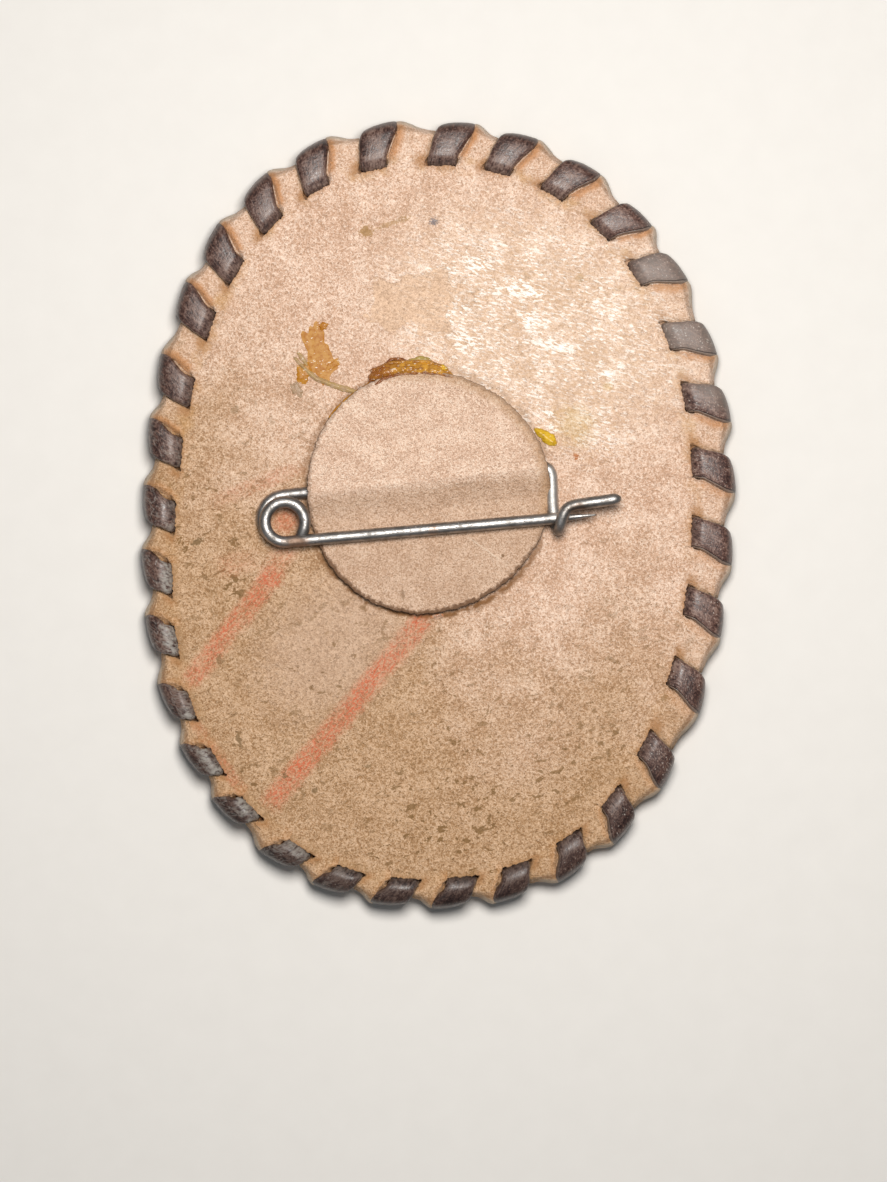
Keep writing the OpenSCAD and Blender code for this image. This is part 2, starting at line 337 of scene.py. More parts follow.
def ring_row(share=0.0, under=0.0, between=0.0, height=1.0, scallop_share=0.0, dip=0.0,
             even=0.0, pull=1.0, step=0.0, lip=0.0, mouth=0.0, between_h=None):
    other = height if between_h is None else between_h
    return [share, under, between, height, scallop_share, dip, even, pull, step, lip, mouth,
            other]


(SLITS, R_UNDER, R_BETWEEN, R_UNDER_H, R_SCALLOP, DIP, EVEN, PULL, STEP, LIP, MOUTH,
 R_BETWEEN_H) = range(12)
rows = []
for pull in np.linspace(0, 1, inner_rings)[:-1]:
    rows.append(ring_row(share=1, under=calm, between=calm, even=1, pull=pull))
for past_slit in (3.2, 2.6, 2.1, 1.7, 1.35, 1.05, 0.82, 0.66):
    rows.append(ring_row(share=1, under=past_slit, between=past_slit,
                         even=smooth(past_slit, 0.7, calm), lip=smooth(-past_slit, -1.2, -0.5)))
rows.append(ring_row(share=1, under=0.53, between=0.52, lip=0.8))
rows.append(ring_row(share=1, under=0.44, between=0.44, lip=1))
rows.append(ring_row(share=1, under=0.36, between=0.36, lip=0.8, mouth=1))
rows.append(ring_row(share=1, under=slit_half - 0.03, between=0.25, dip=0.3, mouth=1))
rows.append(ring_row(share=1, under=slit_half - 0.03, between=0.15, dip=slit_floor, mouth=1))
rows.append(ring_row(share=1, under=-slit_half, between=-0.1, dip=slit_floor, mouth=1))
rows.append(ring_row(share=1, under=-slit_half - 0.05, between=-0.4, dip=pressed))
for t in (0.25, 0.5, 0.75):
    rows.append(ring_row(share=1 - t, under=-0.5 * (1 - t) + 1.2 * t,
                         between=-0.45 * (1 - t) + 1.4 * t, dip=pressed + sag * t))
rim_parts = 3
for k in range(len(RIM) - 1):
    around = [RIM[min(max(k + step, 0), len(RIM) - 1)] for step in (-1, 0, 1, 2)]
    for part in range(rim_parts):
        t = part / rim_parts
        row = through(around, t)
        rows.append(ring_row(under=row[UNDER], between=row[BETWEEN], height=row[UNDER_H],
                             between_h=row[BETWEEN_H], scallop_share=row[SCALLOP],
                             step=row[PAST], dip=pressed * (1 - t) if k == 0 else 0))
rows.append(ring_row(under=1.35, between=0.75, height=0, scallop_share=0.5, step=0.4))
for inset, even in ((1.9, 0.1), (2.7, 0.3), (3.6, 0.6), (4.8, 0.9)):
    rows.append(ring_row(under=inset, between=inset, height=0, even=even, step=0.4))
for pull in np.linspace(1, 0, 9):
    rows.append(ring_row(share=1, under=calm, between=calm, height=0, even=1, pull=pull))
rings = np.array(rows)
print("Oval:", oval_columns, "columns by", len(rings), "rings")

# %% [markdown]
# Each point's place is its angle and its inset. Under the lace the columns follow the lace's
# slant; between two stitches they are spread evenly, and far from the rim they fan out from
# the middle. The relief between stitches rises towards the swollen side, because the lace's
# pull pushes the leather up there.

# %% Place of each point of the oval
by_chance = np.random.default_rng(5)
lip_chance = by_chance.uniform(-1, 1, (stitches, under_columns))
reach_chance = by_chance.uniform(-1, 1, (stitches, under_columns))
mouth_w = by_chance.uniform(0.03, 0.3, stitches)
# Added to the inset at the middle of the oval, where no stain of the rim may show
middle_inset = 20


def spread_of(column):
    """Stitch, place across the lace (-1 to 1), and place between stitches (0 to 1)."""
    stitch = column // stitch_columns
    part = column % stitch_columns
    across = np.clip(part / (under_columns - 1) * 2 - 1, -1, 1)
    between = np.clip((part - under_columns) / (between_columns - 1), 0, 1)
    return stitch, across, between, part < under_columns


def even_angle(column):
    """Columns spread evenly between the middles of the stitches."""
    knots = np.arange(-1, stitches + 1) * stitch_columns + (under_columns - 1) / 2
    angles = np.concatenate([[last_deg[0]], stitch_deg, [next_deg[-1]]])
    return np.interp(column, knots, angles)


def oval_place(column, ring):
    row = rings[ring]
    stitch, across, v, under_lace = spread_of(column)
    a = stitch_deg[stitch]
    following = next_deg[stitch]
    part = np.minimum(column % stitch_columns, under_columns - 1)
    depth = slit_depth(a) + (slit_depth(following) - slit_depth(a)) * v
    scalloped = row[:, R_SCALLOP]
    inset_under = row[:, SLITS] * depth + row[:, R_UNDER] + lace_slant * across * scalloped
    inset_under = inset_under + 0.1 * reach_chance[stitch, part] * row[:, LIP]
    inset_between = (row[:, SLITS] * depth + row[:, R_BETWEEN]
                     - scalloped * np.interp(v, SWELL_AT, SWELL_OUT))
    inset = np.where(under_lace, inset_under, inset_between)

    clear = 0.08
    lace_half = half_w(np.maximum(inset_under, 0), a)
    shift = drift(inset_under, a) - lace_step * row[:, STEP]
    mouth = mouth_w[stitch] * row[:, MOUTH]
    here = a + (across * lace_half + shift + mouth * (across == 1)) * deg_per_mm(a)
    left = a + (lace_half + clear + mouth + shift) * deg_per_mm(a)
    right = following + (shift - lace_half - clear) * deg_per_mm(following)
    angle = np.where(under_lace, here, left + (right - left) * v)
    angle = angle + (even_angle(column) - angle) * row[:, EVEN]
    x, y = inset_at(angle, inset)

    height = np.where(under_lace, row[:, R_UNDER_H], row[:, R_BETWEEN_H])
    rise = np.where(under_lace, 0, np.interp(v, SWELL_AT, SWELL_UP))
    close = smooth(-inset, -(depth + 1.0), -(depth - 0.4))
    lip = row[:, LIP] * under_lace * lip_h * (0.9 + 0.9 * lip_chance[stitch, part])
    dip = np.where(under_lace, row[:, DIP], 0)
    z = front_z + height * leather_t + rise * close * np.clip(height, 0, 1) ** 2 + lip - dip
    pull = row[:, PULL]
    return x * pull + oval_at[0], y * pull + oval_at[1], z


oval = rolled_tube("leather_oval_dressed", oval_columns, len(rings))
column, ring = lay(oval, oval_columns, oval_place)
stitch, _, v, under_lace = spread_of(column)
a = stitch_deg[stitch]
edge_inset = rings[ring, SLITS] * slit_depth(a) + rings[ring, R_BETWEEN]
edge_inset = edge_inset + middle_inset * (1 - rings[ring, PULL])
note(oval, "rim_place", np.where(under_lace, 0, v), edge_inset, slit_depth(a))
close_up(oval)
roughen(oval, "oval_dents", 3.4, 0.16)
roughen(oval, "oval_nap", 0.8, 0.07)

# %% [markdown]
# The lace is one loop, so it is modelled as one length of tube for a stitch, repeated by an
# Array modifier and laid round the whole rim. Its section is flat with a low crown. One cut
# edge is bevelled, as a lace cut by a slanted blade is, and shows as a paler strip. A curve
# with a bevel would twist the flat section where it turns under the leather, so the route is
# kept as angle, inset and height, in which the lace always lies flat.

# %% Route of the lace
route_parts = 4
mouth_spot = 3


def stitch_route(i):
    """[angle, inset, height, half width, slant] of one stitch, from its slit to the next."""
    a0 = stitch_deg[i]
    before = last_deg[i]
    here = slit_depth(a0)
    there = slit_depth(before)
    top = back_z + lace_lift
    down = front_z - lace_lift + bend_r
    half = lace_w / 2
    bend_l = min(0.95, 0.7 * (here - RIM[0, UNDER]))

    def on_back(inset, height):
        return [a0 + drift(inset, a0) * deg_per_mm(a0), inset, height, half, 0]

    spots = [on_back(here, down), on_back(here, (down + top) / 2), on_back(here, top - 1.1)]
    for back, fallen in ((0.04, 0.62), (0.2, 0.28), (0.5, 0.09), (1, 0.01)):
        spots.append(on_back(here - back * bend_l, top - fallen))
    for k, (inset, height) in enumerate(LACE_SPOTS):
        step = drift(inset, a0) if k <= WIDEST else -lace_step * (0.5 + RIM[k, PAST])
        spots.append([a0 + step * deg_per_mm(a0), inset, height, half_w(inset, a0),
                      RIM[k, SCALLOP]])
    b = before + drift(there, before) * deg_per_mm(before)
    lean = bend_r * (1 - cosd(45))
    front_half = 1.45 * half
    spots.append([(spots[-1][0] + b) / 2, (RIM[-1, UNDER] + there - bend_r) / 2,
                  down - bend_r, front_half, 0])
    spots.append([b, there - bend_r, down - bend_r, half, 0])
    spots.append([b, there - lean, down - bend_r * sind(45), half, 0])
    return spots


route = np.array([spot for i in range(stitches - 1, -1, -1) for spot in stitch_route(i)])
stitch_rings = len(route) // stitches * route_parts
turn = np.array([360.0, 0, 0, 0, 0])
before = np.vstack([route[-1] + turn, route[:-1]])
after = np.vstack([route[1:], route[0] - turn])
later = np.vstack([route[2:], route[0] - turn, route[1] - turn])
steps = np.arange(route_parts)[None, :, None] / route_parts
around = [points[:, None, :] for points in (before, route, after, later)]
lace_route = through(around, steps).reshape(-1, 5)
lace_route = np.vstack([lace_route, lace_route[0] - turn])
middle_x, middle_y = inset_at(lace_route[:, 0], lace_route[:, 1])
middle = np.column_stack([middle_x, middle_y, lace_route[:, 2]])
lace_mm = np.append(0, np.cumsum(np.linalg.norm(np.diff(middle, axis=0), axis=1)))
print("Lace route:", len(lace_route), "rings for", stitches, "stitches,",
      round(float(lace_mm[-1]), 0), "mm long")

# %% [markdown]
# The section is then laid along that route. Its height is measured at a right angle to the
# route, so that the lace keeps its thickness where it turns over the rim, and its edges
# waver a little, as those of cut leather do. The distance along the lace from each slit is
# noted, because the finish has to know where the lace bends.

# %% Place of each point of the lace
# [place across the lace, height as a share of its thickness], from the clockwise edge
LACE_SECTION = np.array([
    [-1.00, -0.30], [-1.00, -0.02], [-0.965, 0.22], [-0.91, 0.38], [-0.80, 0.48],
    [-0.50, 0.55], [-0.17, 0.59], [0.17, 0.60], [0.50, 0.56], [0.80, 0.46],
    [0.92, 0.36], [0.98, 0.20], [1.00, -0.04], [0.99, -0.34], [0.90, -0.47],
    [0.40, -0.50], [-0.40, -0.50], [-0.90, -0.47]])
slopes = np.gradient(lace_route[:, 1:3], axis=0)
slopes[0] = slopes[-1] = slopes[0] + slopes[-1]
slopes /= np.linalg.norm(slopes, axis=1)[:, None]
lace_stitch = (np.arange(len(lace_route)) // stitch_rings) % stitches
from_mouth = lace_mm - lace_mm[lace_stitch * stitch_rings + mouth_spot * route_parts]
table_clear = 0.045


def lace_place(column, ring):
    across, high = LACE_SECTION[column].T
    angle, inset, height, half, slant = lace_route[ring].T
    tilt = 0.05 * np.sin(lace_stitch[ring] * 2.4)
    loop_ring = ring % (len(lace_route) - 1)
    ragged = 1 + 0.022 * waver(loop_ring * 0.7, np.sign(across) * 2.0)
    lift = lace_t * high + tilt * across
    wide = across * half * ragged
    leaning = inset + slopes[ring, 1] * lift + lace_slant * across * slant
    x, y = inset_at(angle + wide * deg_per_mm(angle), leaning)
    z = np.maximum(height - slopes[ring, 0] * lift, table_clear)
    return x + oval_at[0], y + oval_at[1], z


lace = rolled_tube("edge_lace_dressed", len(LACE_SECTION), stitch_rings + 1, stitches)
column, ring = lay(lace, len(LACE_SECTION), lace_place)
across, high = LACE_SECTION[column].T
note(lace, "lace_place", across, from_mouth[ring])
note(lace, "grain_place", across * lace_w / 2, from_mouth[ring], lace_stitch[ring] * 7.3)
close_up(lace, 0.0005)
roughen(lace, "lace_dents", 1.1, 0.07)

# %% [markdown]
# The patch is a hand-cut round of thin leather. It is glued flat, but rises over the bar of
# the pin like a low tent. Cloth simulation could drape it, but stiff leather makes one clean
# ridge, which a formula gives at once: the height depends on the distance to the bar.

# %% Backing patch
patch_at = np.array([-0.9, 2.2]) + oval_at
patch_d = 23.8
patch_t = 0.85
patch_z = patch_box[0][2]
ridge_half = 3.4
coil_at = np.array([-14.8, -0.75]) + oval_at
low_at = coil_at + [0, 0.36]
low_r = 2.29
bar_deg = 6.3
bar_start = low_at + low_r * np.array([cosd(90 + bar_deg), sind(90 + bar_deg)])
ridge_h = patch_box[1][2] - patch_z - patch_t
patch_columns = 240
# [inset from the edge, depth below the top, share of the radius]
patch_rings = [[0.16, 0, share] for share in np.linspace(0, 1, 35)]
patch_rings += [[0.06, 0.03, 1], [0.01, 0.11, 1], [0, 0.3, 1], [0.03, 0.55, 1],
                [0.08, patch_t - 0.06, 1], [0.16, patch_t, 1]]
patch_rings += [[0.16, patch_t, share] for share in (0.93, 0.8, 0.6, 0.4, 0.2, 0)]
patch_rings = np.array(patch_rings)


def patch_place(column, ring):
    inset, depth, share = patch_rings[ring].T
    a = column * 360 / patch_columns
    cut = 0.09 * waver(column * 0.55) + 0.07 * waver(column * 1.9, 1.0)
    r = (patch_d / 2 + 0.18 * cosd(3 * a - 12) + cut - inset) * share
    x = patch_at[0] + r * cosd(a)
    y = patch_at[1] + r * sind(a)
    off = (y - bar_start[1]) * cosd(bar_deg) - (x - bar_start[0]) * sind(bar_deg)
    t = np.clip(np.abs(off) / ridge_half, 0, 1)
    tent = ridge_h * (0.55 * (1 - t) ** 1.6 + 0.45 * (0.5 + 0.5 * np.cos(np.pi * t)))
    curl = 0.06 * waver(a / 14) * smooth(share, 0.6, 1)
    z = np.maximum(patch_z + patch_t + tent + curl - depth, patch_z)
    return x, y, z


patch = rolled_tube("backing_patch_dressed", patch_columns, len(patch_rings))
column, ring = lay(patch, patch_columns, patch_place)
inset, depth, share = patch_rings[ring].T
note(patch, "edge_place", (1 - share) * patch_d / 2, depth)
close_up(patch)
roughen(patch, "patch_dents", 2.2, 0.1)
roughen(patch, "patch_nap", 0.6, 0.04)

# %% [markdown]
# The pin is bent from one spring wire. Its route is given by the few places where it bends,
# then evened into short steps and eased, so that each bend is round, as bent wire is. A
# curve with a bevel would do too, but the same tube as before keeps its seam and its caps
# in hand.

# %% Helpers for a bent wire
wire_columns = 20


def evened(route, step):
    """The same route in equal steps. Each spot is [x, y, z, radius]."""
    route = np.array(route, dtype=float)
    lengths = np.linalg.norm(np.diff(route[:, :3], axis=0), axis=1)
    along = np.concatenate([[0], np.cumsum(lengths)])
    marks = np.linspace(0, along[-1], int(along[-1] / step) + 1)
    return np.column_stack([np.interp(marks, along, route[:, k]) for k in range(route.shape[1])])


def eased(route, times):
    """The route with its corners rounded a little more each time, and its ends kept."""
    route = route.copy()
    for _ in range(times):
        route[1:-1] = (route[:-2] + 2 * route[1:-1] + route[2:]) / 4
    return route


def wire_frames(spots):
    """Two directions across the wire at each spot, carried along without a twist."""
    runs = np.gradient(spots, axis=0)
    runs /= np.linalg.norm(runs, axis=1)[:, None]
    across = np.array([0.0, 0.0, 1.0])
    first = []
    for run in runs:
        across = across - across.dot(run) * run
        across = across / np.linalg.norm(across)
        first.append(across)
    first = np.array(first)
    return first, np.cross(runs, first)


def wire(name, route):
    """A round wire along [x, y, z, radius], closed at both ends."""
    start, end = route[0].copy(), route[-1].copy()
    start[3] = end[3] = 0
    route = np.vstack([start, route, end])
    first, second = wire_frames(np.vstack([route[1, :3], route[1:-1, :3], route[-2, :3]])
                                + np.arange(len(route))[:, None] * 1e-6)

    def place(column, ring):
        t = 360 * column / wire_columns
        r = route[ring, 3]
        spots = (route[ring, :3] + (r * cosd(t))[:, None] * first[ring]
                 + (r * sind(t))[:, None] * second[ring])
        return spots.T

    lengths = 4
    per_length = -(-(len(route) - 1) // lengths)
    while len(route) < per_length * lengths + 1:
        route = np.vstack([route, route[-1]])
        first = np.vstack([first, first[-1]])
        second = np.vstack([second, second[-1]])
    piece = rolled_tube(name, wire_columns, per_length + 1, lengths)
    lay(piece, wire_columns, place)
    close_up(piece)
    return piece


# %% [markdown]
# The fixed wire starts under the stem, makes the coil's lower half turn, runs under the patch
# as its bar, and ends in the hook and its tail. The stem is the upper turn of the coil and
# the long straight needle, ground to a point.

# %% Pin wire and stem
# [from the middle across, from the middle up, above the leather, share of the radius]
HOOK = [
    [10.60, 4.66, 0.64, 1], [10.95, 4.50, 0.64, 1], [11.19, 4.18, 0.64, 1],
    [11.30, 3.72, 0.64, 1], [11.34, 2.60, 0.64, 1], [11.38, 1.20, 0.64, 1],
    [11.46, 0.10, 0.64, 1], [11.54, -0.45, 0.66, 1], [11.70, -1.02, 0.86, 1],
    [11.86, -1.44, 1.31, 1], [11.98, -1.55, 1.86, 1], [12.08, -1.36, 2.41, 1],
    [12.18, -0.88, 2.84, 1], [12.32, -0.20, 3.05, 1], [12.60, 0.36, 3.09, 1],
    [13.05, 0.74, 3.09, 1], [13.70, 0.93, 3.08, 1], [15.40, 1.17, 3.06, 1],
    [17.55, 1.48, 3.04, 1], [17.80, 1.52, 3.04, 0.9], [17.96, 1.55, 3.04, 0.66],
    [18.05, 1.56, 3.04, 0.3]]
wire_d = 1.15
wire_r = wire_d / 2
wire_step = 0.18
bar_l = 25.4
bar_z = back_z + 0.06 + wire_d / 2
fixed = []
for a in range(265, 96, -6):
    fixed.append([low_at[0] + low_r * cosd(a), low_at[1] + low_r * sind(a), bar_z, wire_r])
for reach in (0, bar_l):
    fixed.append([bar_start[0] + reach * cosd(bar_deg), bar_start[1] + reach * sind(bar_deg),
                  bar_z, wire_r])
for x, y, z, share in HOOK:
    fixed.append([x + oval_at[0], y + oval_at[1], back_z + z, share * wire_r])
pin_wire = wire("pin_wire_dressed", eased(evened(fixed, wire_step), 3))

coil_r = 1.95
stem_deg = 5
stem_l = 30.4
point_l = 4.2
coil_z = bar_z + wire_d + 0.07
dive_tip = 62
ring_start = -10
sprung = []
for a in range(-58, 0, 5):
    back = coil_r * cosd(a) - coil_r
    x = back * cosd(dive_tip) + coil_r
    y = coil_r * sind(a)
    z = back * sind(dive_tip)
    sprung.append([coil_at[0] + x * cosd(ring_start) - y * sind(ring_start),
                   coil_at[1] + x * sind(ring_start) + y * cosd(ring_start), coil_z + z, wire_r])
for a in range(ring_start, 270 + stem_deg + 1, 5):
    sprung.append([coil_at[0] + coil_r * cosd(a), coil_at[1] + coil_r * sind(a), coil_z, wire_r])
stem_start = np.array(sprung[-1][:2])
for reach, share in ((0.4, 1), (stem_l - point_l, 1), (stem_l - 2, 0.55), (stem_l, 0.12)):
    sprung.append([stem_start[0] + reach * cosd(stem_deg), stem_start[1] + reach * sind(stem_deg),
                   coil_z, share * wire_r])
pin_stem = wire("pin_stem_dressed", evened(sprung, wire_step))
print("Pin:", len(fixed), "places on the fixed wire and", len(sprung), "on the stem")

# %% [markdown]
# Amber glue squeezed out along the patch's top edge and dried in ridges: a bead that is thick
# on the left, with finer lines along it, a curl, a corner, a yellow end and a blot. To its
# left lie a thin smear with a dot, an arm, a foot and a toe, a light strip and a pale strand.
# A yellow fleck stays by the hook, and a clear drop under the patch. The long ones are made
# as ropes through a few spots, and the round ones as lumps with a wild outline. Metaballs
# would flow together by themselves, but a rope keeps its ridges running along its length.

# %% Glue
rope_columns = 24
lump_columns = 72
lump_rings = 14
rope_step = 0.1
rope_sunk = 0.06
lump_sunk = 0.05


def rope(name, spots, rise_by, height_ridge, seed):
    """A line of dried glue along [x, y, half width, height], standing rise_by above the back."""
    route = [[x, y, back_z - rope_sunk + rise_by, half, height] for x, y, half, height in spots]
    route = eased(evened(route, rope_step), 5)
    runs = np.gradient(route[:, :2], axis=0)
    runs /= np.linalg.norm(runs, axis=1)[:, None]
    from_end = np.minimum(np.arange(len(route)), np.arange(len(route))[::-1]) * rope_step
    tip = np.sqrt(np.clip(from_end / np.maximum(route[:, 3], 0.12), 0, 1))

    def place(column, ring):
        t = column * 360 / rope_columns
        up = np.maximum(sind(t), 0)
        side = np.sign(cosd(t))
        ridge = height_ridge * np.sin(np.radians(t * 5) + 0.9 * waver(ring * 0.06, seed))
        ragged = 1 + 0.16 * waver(ring * 0.16, seed + side) + 0.08 * waver(ring * 0.5, seed + side)
        across = cosd(t) * route[ring, 3] * ragged * tip[ring]
        swell = 1 + 0.16 * waver(ring * 0.13, seed + 4)
        z = route[ring, 2] + route[ring, 4] * up * (1 + ridge * up) * swell * tip[ring]
        return (route[ring, 0] - runs[ring, 1] * across,
                route[ring, 1] + runs[ring, 0] * across, z)

    piece = rolled_tube(name, rope_columns, len(route))
    lay(piece, rope_columns, place)
    close_up(piece)
    return piece


def lump(name, centre, long_half, short_half, turned, height, wild, seed):
    """A flat dried lump on the leather, with an irregular outline and a flat foot."""

    def place(column, ring):
        a = column * 360 / lump_columns
        share = np.where(ring < lump_rings - 1, ring / (lump_rings - 2), 0)
        outline = 1 + wild * (round_waver(a, seed) + 0.5 * round_waver(3 * a, seed + 2)) * share
        x = long_half * cosd(a) * share * outline
        y = short_half * sind(a) * share * outline
        dome = (1 - share**4) * (0.75 + 0.25 * share * round_waver(a + 90 * share, seed))
        z = back_z - lump_sunk + height * dome * (ring < lump_rings - 2)
        return (centre[0] + x * cosd(turned) - y * sind(turned),
                centre[1] + x * sind(turned) + y * cosd(turned), z)

    piece = rolled_tube(name, lump_columns, lump_rings)
    lay(piece, lump_columns, place)
    close_up(piece)
    return piece


bead = rope("glue_bead_dressed", [
    [-6.5, 12.65, 0.35, 0.5], [-6.3, 13.4, 0.65, 0.8], [-5.6, 13.85, 0.85, 0.95],
    [-4.3, 14.1, 0.9, 1.05], [-2.6, 14.25, 0.85, 1.0], [-0.8, 14.1, 0.85, 1.0],
    [0.7, 13.75, 0.55, 0.85], [1.6, 13.35, 0.28, 0.6]], 0.0, 0.12, 1.0)
outer_line = rope("glue_outer_line", [
    [-5.9, 14.2, 0.15, 0.3], [-4.7, 14.85, 0.24, 0.5], [-2.7, 15.0, 0.2, 0.45],
    [-0.9, 14.95, 0.26, 0.5], [0.7, 14.35, 0.2, 0.4]], 0.1, 0.1, 2.0)
seam_line = rope("glue_seam_line", [
    [-6.4, 12.6, 0.2, 0.3], [-5.3, 13.35, 0.2, 0.34], [-3.8, 13.75, 0.17, 0.3],
    [-1.8, 13.9, 0.22, 0.32], [0.1, 13.75, 0.16, 0.3], [1.7, 13.35, 0.12, 0.2]], 0.72, 0.1, 3.0)
curl = rope("glue_curl", [
    [-5.2, 14.8, 0.1, 0.3], [-4.7, 15.2, 0.2, 0.38], [-4.0, 15.3, 0.16, 0.3],
    [-3.7, 15.15, 0.28, 0.36], [-3.2, 15.2, 0.12, 0.26]], 0.0, 0.1, 4.0)
left_rim = rope("glue_left_rim", [
    [-6.8, 12.6, 0.16, 0.3], [-6.55, 13.3, 0.3, 0.66], [-6.0, 13.7, 0.26, 0.72],
    [-5.6, 14.4, 0.2, 0.7], [-5.2, 14.75, 0.14, 0.4]], 0.05, 0.1, 4.5)
edge_line = rope("glue_edge_line", [
    [-10.8, 9.4, 0.1, 0.2], [-9.9, 10.5, 0.18, 0.3], [-9.0, 11.35, 0.14, 0.26],
    [-7.6, 12.3, 0.2, 0.32], [-6.5, 12.95, 0.22, 0.4]], 0.2, 0.1, 5.0)
blot = lump("glue_blot", (-1.8, 15.15), 1.05, 0.42, 3, 0.3, 0.25, 1.5)
yellow_end = lump("glue_yellow_end", (0.45, 14.4), 0.5, 0.34, -30, 0.75, 0.2, 2.5)
corner = lump("glue_corner", (-6.3, 14.1), 0.42, 0.36, 40, 0.6, 0.25, 3.5)
smear = lump("glue_smear", (-11.8, 15.5), 3.3, 1.75, 104, 0.14, 0.32, 1.0)
smear_dot = lump("glue_smear_dot", (-11.3, 18.5), 0.5, 0.42, 20, 0.2, 0.3, 6.0)
smear_arm = lump("glue_smear_arm", (-10.5, 14.6), 1.0, 0.45, 35, 0.16, 0.4, 7.0)
light_strip = rope("glue_light_strip", [
    [-13.9, 16.0, 0.15, 0.2], [-13.3, 15.3, 0.28, 0.26], [-12.8, 14.5, 0.16, 0.2]],
    0.0, 0.1, 6.0)
smear_foot = lump("glue_smear_foot", (-13.2, 13.9), 1.15, 0.9, 80, 0.26, 0.3, 2.0)
toe = lump("glue_toe", (-13.9, 12.3), 0.85, 0.6, 120, 0.2, 0.4, 7.0)
strand = rope("glue_strand", [
    [-14.2, 15.5, 0.16, 0.24], [-13.1, 14.3, 0.24, 0.3], [-12.0, 13.35, 0.28, 0.34],
    [-10.6, 12.8, 0.26, 0.34], [-9.4, 12.4, 0.34, 0.36], [-7.7, 11.9, 0.2, 0.3]], 0.0, 0.12, 8.0)
fleck = rope("glue_fleck", [
    [9.35, 8.5, 0.14, 0.3], [10.1, 7.95, 0.5, 0.46], [10.9, 7.4, 0.62, 0.5],
    [11.6, 6.8, 0.3, 0.36]], 0.0, 0.12, 9.0)
drop = lump("glue_drop", (-0.1, -9.95), 0.75, 0.32, 4, 0.3, 0.2, 5.0)
amber_pieces = [bead, outer_line, corner]
dark_pieces = [seam_line, curl, left_rim]
smear_pieces = [smear, smear_dot, smear_arm]
foot_pieces = [smear_foot, edge_line]
pale_pieces = [strand, light_strip]
yellow_pieces = [fleck, yellow_end]
glue_pieces = (amber_pieces + dark_pieces + smear_pieces + foot_pieces + pale_pieces
               + yellow_pieces + [blot, toe, drop])
print(len(glue_pieces), "pieces of dried glue")

# %% [markdown]
# A finish is a small program of nodes. To keep it readable, one class wraps a socket and
# lets Python's own signs do the sums, so `1 - mask` adds a Math node. Every other node comes
# from its one method, which is given the node's type, its settings and its inputs.

# %% A socket that can do sums
class Socket:
    """One value, colour or vector inside a material."""

    def __init__(self, tree, socket=None):
        self.tree = tree
        self.socket = socket

    def node(self, kind, settings, values, output=0):
        made = self.tree.nodes.new("ShaderNode" + kind)
        for name, value in settings.items():
            if name == "stops":
                ramp = made.color_ramp
                for _ in value[2:]:
                    ramp.elements.new(0.5)
                for element, (place, colour) in zip(ramp.elements, value):
                    element.position = place
                    element.color = (*colour, 1)
            else:
                setattr(made, name, value)
        for name, value in values.items():
            if isinstance(value, Socket):
                self.tree.links.new(value.socket, made.inputs[name])
            else:
                made.inputs[name].default_value = value
        return Socket(self.tree, made.outputs[output])

    def sum_with(self, operation, other, reflected=False):
        pair = (other, self) if reflected else (self, other)
        return self.node("Math", {"operation": operation}, {0: pair[0], 1: pair[1]})

    def __add__(self, other):
        return self.sum_with("ADD", other)

    def __radd__(self, other):
        return self.sum_with("ADD", other, True)

    def __sub__(self, other):
        return self.sum_with("SUBTRACT", other)

    def __rsub__(self, other):
        return self.sum_with("SUBTRACT", other, True)

    def __mul__(self, other):
        return self.sum_with("MULTIPLY", other)

    def __rmul__(self, other):
        return self.sum_with("MULTIPLY", other, True)

    def __truediv__(self, other):
        return self.sum_with("DIVIDE", other)

    def __pow__(self, other):
        return self.sum_with("POWER", other)

    def __abs__(self):
        return self.sum_with("ABSOLUTE", 0.0)

    def most(self, other):
        return self.sum_with("MAXIMUM", other)


# %% [markdown]
# A few more words make the finishes short to write: `rise` is a soft step, `tint` mixes two
# colours and `paint` lays several over each other, `tone` turns a lightness into a colour,
# `mottle` is cloudy noise of a size given in millimetres, `strands` is noise drawn out in one
# direction, and `wriggle` is thin curling lines.

# %% Words for finishes
def rise(value, low, high):
    """0 below low and 1 above high, with a soft step between."""
    return value.node("MapRange", {"interpolation_type": "SMOOTHSTEP"},
                      {"Value": value, "From Min": low, "From Max": high,
                       "To Min": 0.0, "To Max": 1.0})


def fall(value, low, high):
    return 1 - rise(value, low, high)


def tint(mask, colour, other):
    """The first colour where the mask is 0 and the other where it is 1."""
    def full(value):
        return value if isinstance(value, Socket) else (*value, 1)
    return mask.node("Mix", {"data_type": "RGBA", "blend_type": "MIX"},
                     {0: mask, 6: full(colour), 7: full(other)}, 2)


def paint(colour, *layers):
    """Lays one [mask, colour] over another."""
    for mask, other in layers:
        colour = tint(mask, colour, other)
    return colour


def tone(light, tones):
    """A colour between a dark, a middle and a pale one."""
    stops = list(zip((0.18, 0.5, 0.82), tones))
    return light.node("ValToRGB", {"stops": stops}, {"Fac": light})


def shade(colour, amount):
    """The colour made lighter or darker by a value."""
    return colour.node("VectorMath", {"operation": "SCALE"}, {0: colour, "Scale": amount})


def mottle(spot, size, detail=3.0, roughness=0.55, twist=0.0):
    return spot.node("TexNoise", {}, {"Vector": spot, "Scale": 1 / size, "Detail": detail,
                                      "Roughness": roughness, "Distortion": twist})


def turned(spot, degrees, scale):
    """The spot turned about Z and stretched, so that what is drawn on it is longer one way."""
    return spot.node("Mapping", {"vector_type": "TEXTURE"},
                     {"Vector": spot, "Rotation": (0, 0, math.radians(degrees)),
                      "Scale": scale})


def strands(spot, degrees, long, thin, detail=2.0):
    """Fine streaks of that length and thickness."""
    return mottle(turned(spot, degrees, (long, thin, thin)), 1.0, detail, 0.5, 0.6)


